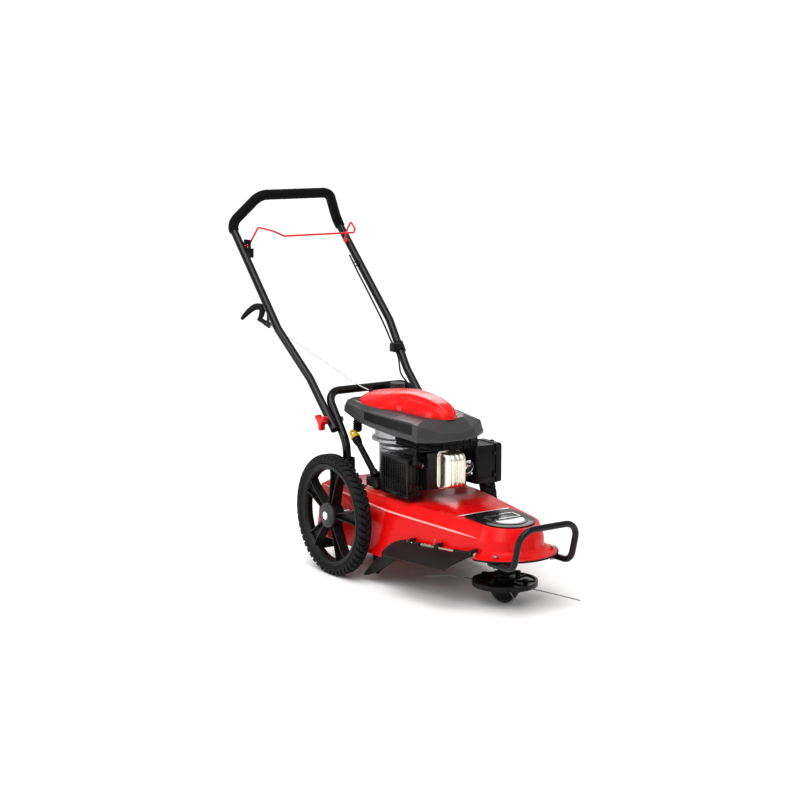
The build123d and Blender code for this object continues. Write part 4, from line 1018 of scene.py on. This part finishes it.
def cover_half(x):
    """Half width of the lobed cover: a wide rear lobe, a waist and a tapering front lobe."""
    rear = 106.0 * max(0.0, 1 - abs((x - 5) / 115.0) ** 2.5) ** 0.47
    front = 0.0
    if x > -40:
        ahead = max(0.0, (x - 60) / 216.0)
        front = (70.0 - 0.19 * max(0.0, x - 120)) * math.sqrt(max(0.0, 1 - ahead**8))
    joined = (rear**9 + front**9) ** (1 / 9)
    return max(0.4, joined - 4.0 * math.exp(-(((x - 121) / 8.0) ** 2)))


CREST = (
    (-110, 492), (-104, 503), (-88, 511), (-53, 519), (0, 529), (45, 536), (100, 540), (143, 539), (190, 536),
    (235, 529), (262, 517), (272, 508), (278, 497),
)


def crest_at(x):
    """Height of the cover's ridge above the tilted seat plane."""
    for (x0, z0), (x1, z1) in zip(CREST, CREST[1:]):
        if x <= x1:
            return z0 + (z1 - z0) * (x - x0) / (x1 - x0)
    return CREST[-1][1]


def top_cover():
    columns, across = 120, 48
    rows = []
    for i in range(columns + 1):
        x = -109.6 + 386.0 * (0.5 - 0.5 * math.cos(math.pi * i / columns))
        half = cover_half(x)
        edge = 488.0 + 5.0 / (1 + math.exp(-(x - 150) / 22.0))
        row = [tilted_at(x, -half * 1.01, edge - 3)]
        for j in range(across + 1):
            t = math.sin(math.pi * (j / across - 0.5))
            row.append(tilted_at(x, half * t, edge + cover_height(x, t, edge)))
        row.append(tilted_at(x, half * 1.01, edge - 3))
        rows.append(row)
    shape = Shape()
    shape.grid(rows)
    shape.finish("lobed_cover", 42, "chassis", "cover_red", ["top_cover"])


def cover_height(x, t, edge):
    """Crown of the cover: a step at the rim, a domed rear lobe and a flat-topped ridge in front."""
    smooth = sum(crest_at(x + step) for step in (-9, -6, -3, 0, 3, 6, 9)) / 7
    rise = max(0.0, smooth - edge - 3.0)
    front = 1 / (1 + math.exp(-(x - 108) / 12.0))
    side = max(0.0, 1 - abs(t) ** (2.5 + 0.9 * front)) ** 0.72
    valley = -4.0 * front * math.exp(-(((abs(t) - 0.62) / 0.10) ** 2)) * min(1.0, rise / 20)
    ridge = 2.5 * front * math.exp(-(((abs(t) - 0.46) / 0.07) ** 2)) * min(1.0, rise / 20)
    return 3.0 + rise * side + valley + ridge


VALVE_Z = 342.0


def rocker_cover():
    """Plated valve cover: fluted cushion on a flange with two screws."""
    shape = Shape()
    columns, levels = 60, 34
    rows = []
    for j in range(levels + 1):
        w = -1 + 2 * j / levels
        row = []
        for i in range(columns + 1):
            t = -1 + 2 * i / columns
            swell = (max(0.0, 1 - abs(t) ** 7)) ** 0.45 * (max(0.0, 1 - abs(w) ** 8)) ** 0.4
            flute = 0.0
            for place, width in ((-0.60, 0.08), (-0.15, 0.06), (0.30, 0.06), (0.70, 0.07)):
                flute += 3.8 * math.exp(-(((t - place) / width) ** 2))
            depth = 46.0 + 4.0 * (1 - t * t) - flute
            row.append(at(303.5 + depth * swell, -30 + 34.0 * t, VALVE_Z + 51.0 * w))
        rows.append(row)
    shape.grid(rows)
    rows = []
    for x, grow in ((297.6, 0), (298.4, 2.0), (302.6, 2.4), (304.4, 0.8)):
        row = []
        for step in range(64):
            turn = 2 * math.pi * step / 64
            c, s = math.cos(turn), math.sin(turn)
            y = -29 + (39.0 + grow) * math.copysign(abs(c) ** 0.28, c)
            z = VALVE_Z + (53.0 + grow) * math.copysign(abs(s) ** 0.28, s)
            row.append(at(x, y, z))
        rows.append(row)
    shape.grid(rows, wrap=True, caps=True)
    for y, z in ((-63, 388), (5, 296)):
        screw = [(0.2, 8.5), (4.6, 8.5), (5.2, 7.6), (5.2, 5), (8.4, 4.6), (8.4, 3.4)]
        shape.turned(screw, at(300.5, y, z), "X", 6)
    shape.finish("valve_cover", 35, "chassis", "chrome_cover", ["rocker_cover"])


def air_filter_details():
    """Parting bead, snap tabs and a wing screw on the air cleaner."""
    shape = Shape()
    shape.block(213.5, 308.6, 134.5, 138.2, 284, 398)
    for z in (302, 366):
        shape.block(304, 310.5, 124, 138, z, z + 12)
    shape.block(304.5, 307.4, 76, 126, 300, 303)
    shape.block(304.5, 307.4, 76, 126, 378, 381)
    finish_piece(bevel(shape.piece("filter_tabs"), 0.8), "chassis", "black_plastic")
    lid = Shape()
    lid.turned([(0.2, 6), (7, 6), (8.6, 4.6), (9, 0), (9, -3)], at(262, 153.4, 392), "Y", 24)
    finish_piece(bevel(lid.piece("filter_screw"), 0.6), "air_filter_cover", "black_plastic")


def carburettor_details():
    """Throttle plate, springs, link rods and screws round the carburettor."""
    bright = Shape()
    for y, z in ((30, 338), (50, 320)):
        bright.turned([(0.2, 4), (3.2, 4), (3.6, 3.2), (3.6, -6)], at(300, y, z), "X", 6)
    nut = [(0.2, -3), (9, -3), (10, -1), (10, 2), (4, 3), (4, 6), (0.2, 6)]
    bright.turned(nut, at(281, 30, 288), "Z", 24)
    bright.tube([at(303, 22, 352), at(304, 40, 354), at(300, 58, 350), at(296, 64, 344)], 1.3, 8)
    bright.tube([at(306, 16, 330), at(308, 30, 322), at(306, 46, 326), at(304, 56, 338)], 1.3, 8)
    coil = []
    for step in range(90):
        turn = step * 0.7
        coil.append(at(306 + 3.2 * math.cos(turn), 16 + step * 0.32, 344 + 3.2 * math.sin(turn)))
    bright.tube(coil, 0.6, 6)
    bright.block(300, 302, 18, 48, 340, 358)
    bright.finish("throttle_links", 40, "chassis", "cast_alu", material=SILVER)


FILLER_LOW = Vector((34.0, -100.0, 286.0))
FILLER_HIGH = Vector((-60.0, -106.0, 382.0))
FILLER_WAY = (FILLER_HIGH - FILLER_LOW).normalized()


def filler_at(distance, side=0.0, rise=0.0):
    """Point along the oil filler's axis, measured from its lower end."""
    across = FILLER_WAY.cross(Vector((0, 1, 0))).normalized()
    place = FILLER_LOW + FILLER_WAY * distance + Vector((0, side, 0)) + across * rise
    return at(*place)


def filler_and_dipstick():
    reach = (FILLER_HIGH - FILLER_LOW).length
    shape = Shape()
    stops = [(-3, 15), (4, 15), (5, 12.5), (14, 12), (16, 9.6), (reach - 22, 9.2), (reach - 20, 11.5)]
    stops += [(reach - 12, 12), (reach - 11, 13.4), (reach - 0.2, 13.4)]
    shape.tube([filler_at(d) for d, r in stops], [r for d, r in stops], 32)
    shape.finish("filler_neck", 40, "chassis", "black_plastic", ["filler_tube"])
    cap = Shape()
    stops = [(reach + 0.6, 12), (reach + 1, 13.6), (reach + 9, 13.6), (reach + 11, 12.4)]
    stops += [(reach + 14, 11.2), (reach + 16, 8)]
    cap.tube([filler_at(d) for d, r in stops], [r for d, r in stops], 36)
    for index in range(18):
        y, rise = polar(13.4, index * 20)
        cap.tube([filler_at(reach + 1.2, y, rise), filler_at(reach + 9, y, rise)], 1.1, 8)
    loop = []
    for step in range(25):
        turn = math.pi * step / 24
        loop.append(filler_at(reach + 13 + 14 * math.sin(turn), 11 * math.cos(turn), 0))
    cap.tube(loop, 3.6, 14)
    cap.tube([filler_at(14), filler_at(16), filler_at(reach + 3)], [1.2, 2.4, 2.4], 10)
    cap.finish("dipstick_cap", 40, "dipstick", "dipstick_yellow", ["dipstick"])


def breather_bellows():
    """Ribbed rubber sleeve under the cowl's rear corner."""
    shape = Shape()
    profile = [(0.2, 388), (9, 388), (12, 391)]
    for index in range(5):
        z = 393 + index * 6.2
        profile += [(15.5, z), (16, z + 2), (12.2, z + 4)]
    profile += [(14, 426), (0.2, 426)]
    shape.turned([(r * 0.9, z - 388) for r, z in profile], at(-100, -74, 392), "Z", 36)
    shape.finish("bellows", 40, "chassis", "rubber_black")


# ---------- deflector, skirt and head ----------
HINGE_REAR = Vector((296.0, -173.0, 150.0))
HINGE_FRONT = Vector((560.0, -128.0, 161.0))
ALONG = (HINGE_FRONT - HINGE_REAR).normalized()
LEVEL = Vector((0, 0, 1)).cross(ALONG).normalized()
RISE = ALONG.cross(LEVEL)


def hinge_at(x, y, z):
    place = HINGE_REAR + ALONG * x + LEVEL * y + RISE * z
    return at(*place)


def deflector_point(share, down, lift):
    """Point on the chute cover: share runs along the hinge, down from the hinge to the free edge."""
    slope = math.radians(26.0)
    start = -22 - 10 * down
    end = 262 - 46 * down
    depth = 64 + 12 * share
    out = -8 - (depth - 8) * down
    lip = 5.0 * down**3
    y = out * math.cos(slope)
    z = out * math.sin(slope) - lip + lift
    return hinge_at(start + (end - start) * share, y, z)


def deflector():
    """Chute cover: a shallow curved plate with rolled eyes on the rod and a stiffening hem."""
    shape = Shape()
    columns, levels = 44, 14
    for lift in (-1.2, 1.2):
        rows = []
        for j in range(levels + 1):
            rows.append([deflector_point(i / columns, j / levels, lift) for i in range(columns + 1)])
        shape.grid(rows)
    border = [(i / columns, 0.0) for i in range(columns + 1)]
    border += [(1.0, j / levels) for j in range(1, levels + 1)]
    border += [(i / columns, 1.0) for i in range(columns - 1, -1, -1)]
    border += [(0.0, j / levels) for j in range(levels - 1, 0, -1)]
    rim_rows = [[deflector_point(a, b, lift) for a, b in border] for lift in (-1.2, 1.2)]
    shape.grid(rim_rows, wrap=True)
    shape.tube([deflector_point(i / columns, 1.0, -0.6) for i in range(columns + 1)], 2.0, 10)
    for start, end in ((30, 60), (190, 240)):
        shape.tube([hinge_at(start, 0, 0), hinge_at(end, 0, 0)], 5.4, 20)
        low = [hinge_at(start, -9, -5.8), hinge_at(end, -9, -5.8)]
        high = [hinge_at(start, -1, 2.4), hinge_at(end, -1, 2.4)]
        back = [hinge_at(start, -1, -4.6), hinge_at(end, -1, -4.6)]
        shape.grid([low, high, back], ends=True)
    shape.finish("deflector_plate", 35, "side_deflector", "deflector_dark", ["side_deflector"])


def hinge_spring():
    shape = Shape()
    coil = []
    for step in range(300):
        turn = step * 2 * math.pi * 11 / 300
        coil.append(hinge_at(65 + step * 44 / 300, 4.6 * math.cos(turn), 4.6 * math.sin(turn)))
    shape.tube(coil, 0.9, 8)
    shape.tube([coil[-1], hinge_at(110, 2, 12), hinge_at(110, 8, 20)], 0.9, 8)
    shape.finish("torsion_coil", 60, "chassis", "bearing_steel", ["deflector_spring"])


def skirt_lows(steps):
    """Angle round the spindle and height of the torn hem, step by step."""
    random.seed(11)
    ragged = [random.uniform(-1, 1) for _ in range(steps + 1)]
    lows = []
    for step in range(steps + 1):
        angle = 156.5 + 47.0 * step / steps
        near = max(0.0, min(1.0, (angle - 192) / 10))
        low = 44 - 28 * near**0.8
        if angle < 192:
            low += 5.0 * ragged[step] * (1 if step % 3 == 0 else 0.4) + 6 * math.sin(angle * 0.9)
        tip = max(0.0, (angle - 201.3) / 2.2)
        low += 46 * tip**2
        lows.append((angle, max(15.0, low)))
    return lows


# Right wing of the skirt from front to back: the outer face's point on the upper and on the lower edge,
# then X and Z of the inner face's point on the lower and on the upper edge.
WING = (
    ((300, -181, 158), (330, -190, 124), (330, 123), (300, 157)),
    ((250, -182, 141), (288, -190, 104), (288, 103), (250, 140)),
    ((214, -183, 119), (248, -190, 84), (248, 83), (214, 118)),
    ((184, -184, 94), (213, -189, 60), (213, 60), (184, 93)),
    ((157, -184, 69), (178, -188, 41), (177, 41), (156, 68)),
    ((128, -184, 43), (152, -187, 28), (151, 28), (127, 42)),
    ((105, -184, 22), (126, -186, 18), (125, 18), (104, 21)),
    ((98, -184, 15), (104, -185, 12.5), (103, 12.5), (97, 15)),
)
SHEET_THICK = 5.0
SKIRT_TOP = 92.0


def skirt():
    """Rubber skirt behind the lines: bent wall with a torn hem and a long wing beside the wheel."""
    shape = Shape()
    lows = skirt_lows(180)
    walls = []
    for radius in (432.5, 427.5):
        rows = []
        for j in range(9):
            row = []
            for angle, low in lows:
                reach = radius + 1.2 * math.sin(angle * 1.3) * (1 - j / 8)
                row.append(at(*polar(reach, angle, SPINDLE_X), low + (SKIRT_TOP - low) * j / 8))
            rows.append(row)
        walls.append(rows)
        shape.grid(rows)
    outer, inner = walls
    for end in (0, -1):
        shape.grid([outer[end], inner[end]])
    for end in (0, -1):
        shape.grid([[row[end] for row in outer], [row[end] for row in inner]])
    rows = []
    for high, low, (low_x, low_z), (high_x, high_z) in WING:
        inside = [at(low_x, low[1] + SHEET_THICK, low_z), at(high_x, high[1] + SHEET_THICK, high_z)]
        rows.append([at(*high), at(*low)] + inside)
    shape.grid(rows, wrap=True, caps=True)
    shape.finish("skirt_sheet", 35, "chassis", "rubber_black", ["debris_skirt"])


# Nylon lines: angle of the root, reach of the tip, sideways bow and rise at mid length.
LINES = (
    (12.0, 262.0, 3.0, 0.0),
    (-31.0, 186.0, 9.0, -6.0),
    (219.0, 226.0, 16.0, 13.0),
    (152.0, 196.0, -8.0, 3.0),
)


def head_details():
    """Glide cup, ribs and posts on the line disc, and the four lines."""
    shape = Shape()
    profile = [(8.6, 51.8), (44.5, 51.8), (44.8, 48), (43.6, 43), (42.2, 42), (41.4, 36), (37, 26)]
    profile += [(31, 16.5), (23, 8.6), (14, 3.2), (6, 0.7), (0.3, 0.1)]
    shape.turned(profile, at(SPINDLE_X, 0, 0), "Z", 72)
    shape.finish("glide_bowl", 35, "trimmer_head", "disc_black", ["glide_cup"])
    top = Shape()
    for index in range(8):
        turn = math.radians(index * 45 + 8)
        dx, dy = -2.2 * math.sin(turn), 2.2 * math.cos(turn)
        bar = []
        for radius in (30, 82):
            x, y = SPINDLE_X + radius * math.cos(turn), radius * math.sin(turn)
            corners = ((-1, 60), (1, 60), (1, 64.5), (-1, 64.5))
            bar.append([at(x + hand * dx, y + hand * dy, z) for hand, z in corners])
        top.grid(bar, wrap=True, caps=True)
    for index in range(4):
        centre = at(*polar(66, 20 + 90 * index, SPINDLE_X), 0)
        top.turned([(6.4, 60), (6.4, 72.6), (8.8, 73.4), (8.8, 76), (7, 77.2), (0.3, 77.4)], centre, "Z", 24)
    boss = [(26.4, 60), (26.4, 72), (24, 74.6), (12, 75.4), (12, 80), (8.7, 80)]
    top.turned(boss, at(SPINDLE_X, 0, 0), "Z", 48)
    finish_piece(bevel(top.piece("disc_ribs", 35), 0.5), "trimmer_head", "disc_black")
    lines = Shape()
    for angle, reach, bow, rise in LINES:
        turn = math.radians(angle)
        rows = []
        for share in (0.0, 0.25, 0.5, 0.75, 1.0):
            radius = 72 + (reach - 72) * share
            side = bow * math.sin(math.pi * share) - bow * 0.2 * share
            x = SPINDLE_X + radius * math.cos(turn) - side * math.sin(turn)
            y = radius * math.sin(turn) + side * math.cos(turn)
            rows.append((x, y, 56.5 + rise * math.sin(math.pi * share)))
        lines.tube(spline_points(rows), 1.5, 10)
    lines.finish("nylon_lines", 60, "trimmer_head", "line_grey", ["trimmer_lines"])


# ---------- carried-over CAD nodes ----------
EDGE_WIDTHS = {
    "deck_shell": 1.6,
    "fasteners": 0.6,
    "deck_brackets": 0.8,
    "line_disc": 1.2,
    "engine_base": 1.5,
    "crankcase": 1.0,
    "cylinder_head": 1.0,
    "muffler_guard": 1.2,
    "air_filter_box": 2.0,
    "air_filter_cover": 2.0,
    "carburettor": 1.5,
    "side_deflector": 0.8,
    "spindle_housing": 1.0,
    "star_knob_left": 1.5,
    "star_knob_right": 1.5,
}


def dress_nodes():
    """Gives every CAD node its procedural material, and rounded edges where they show."""
    for entry in frame["record"]["subparts"]:
        obj = NODES[entry["node"]]
        obj.data.materials.clear()
        dark = entry["node"] in ("cylinder_head", "carburettor")
        obj.data.materials.append(DARK_CASTING if dark else M[entry["material_slot"]])
        bevel(obj, EDGE_WIDTHS.get(entry["node"], 0.4))


def build_pieces():
    for side, name in ((-1, "right"), (1, "left")):
        tyre(side, name)
        rim(side, name)
        hub_cap(side, name)
    for build in (
        handle_tubes, foam_sleeve, pivot_bead, cables, starter_grip, nose_badge, lip_trim, crease_bead,
        blower_housing, shroud, top_cover, rocker_cover, air_filter_details, carburettor_details,
        filler_and_dipstick, breather_bellows, deflector, hinge_spring, skirt, head_details,
    ):
        build()


make_camera()
make_studio()
dress_nodes()
build_pieces()
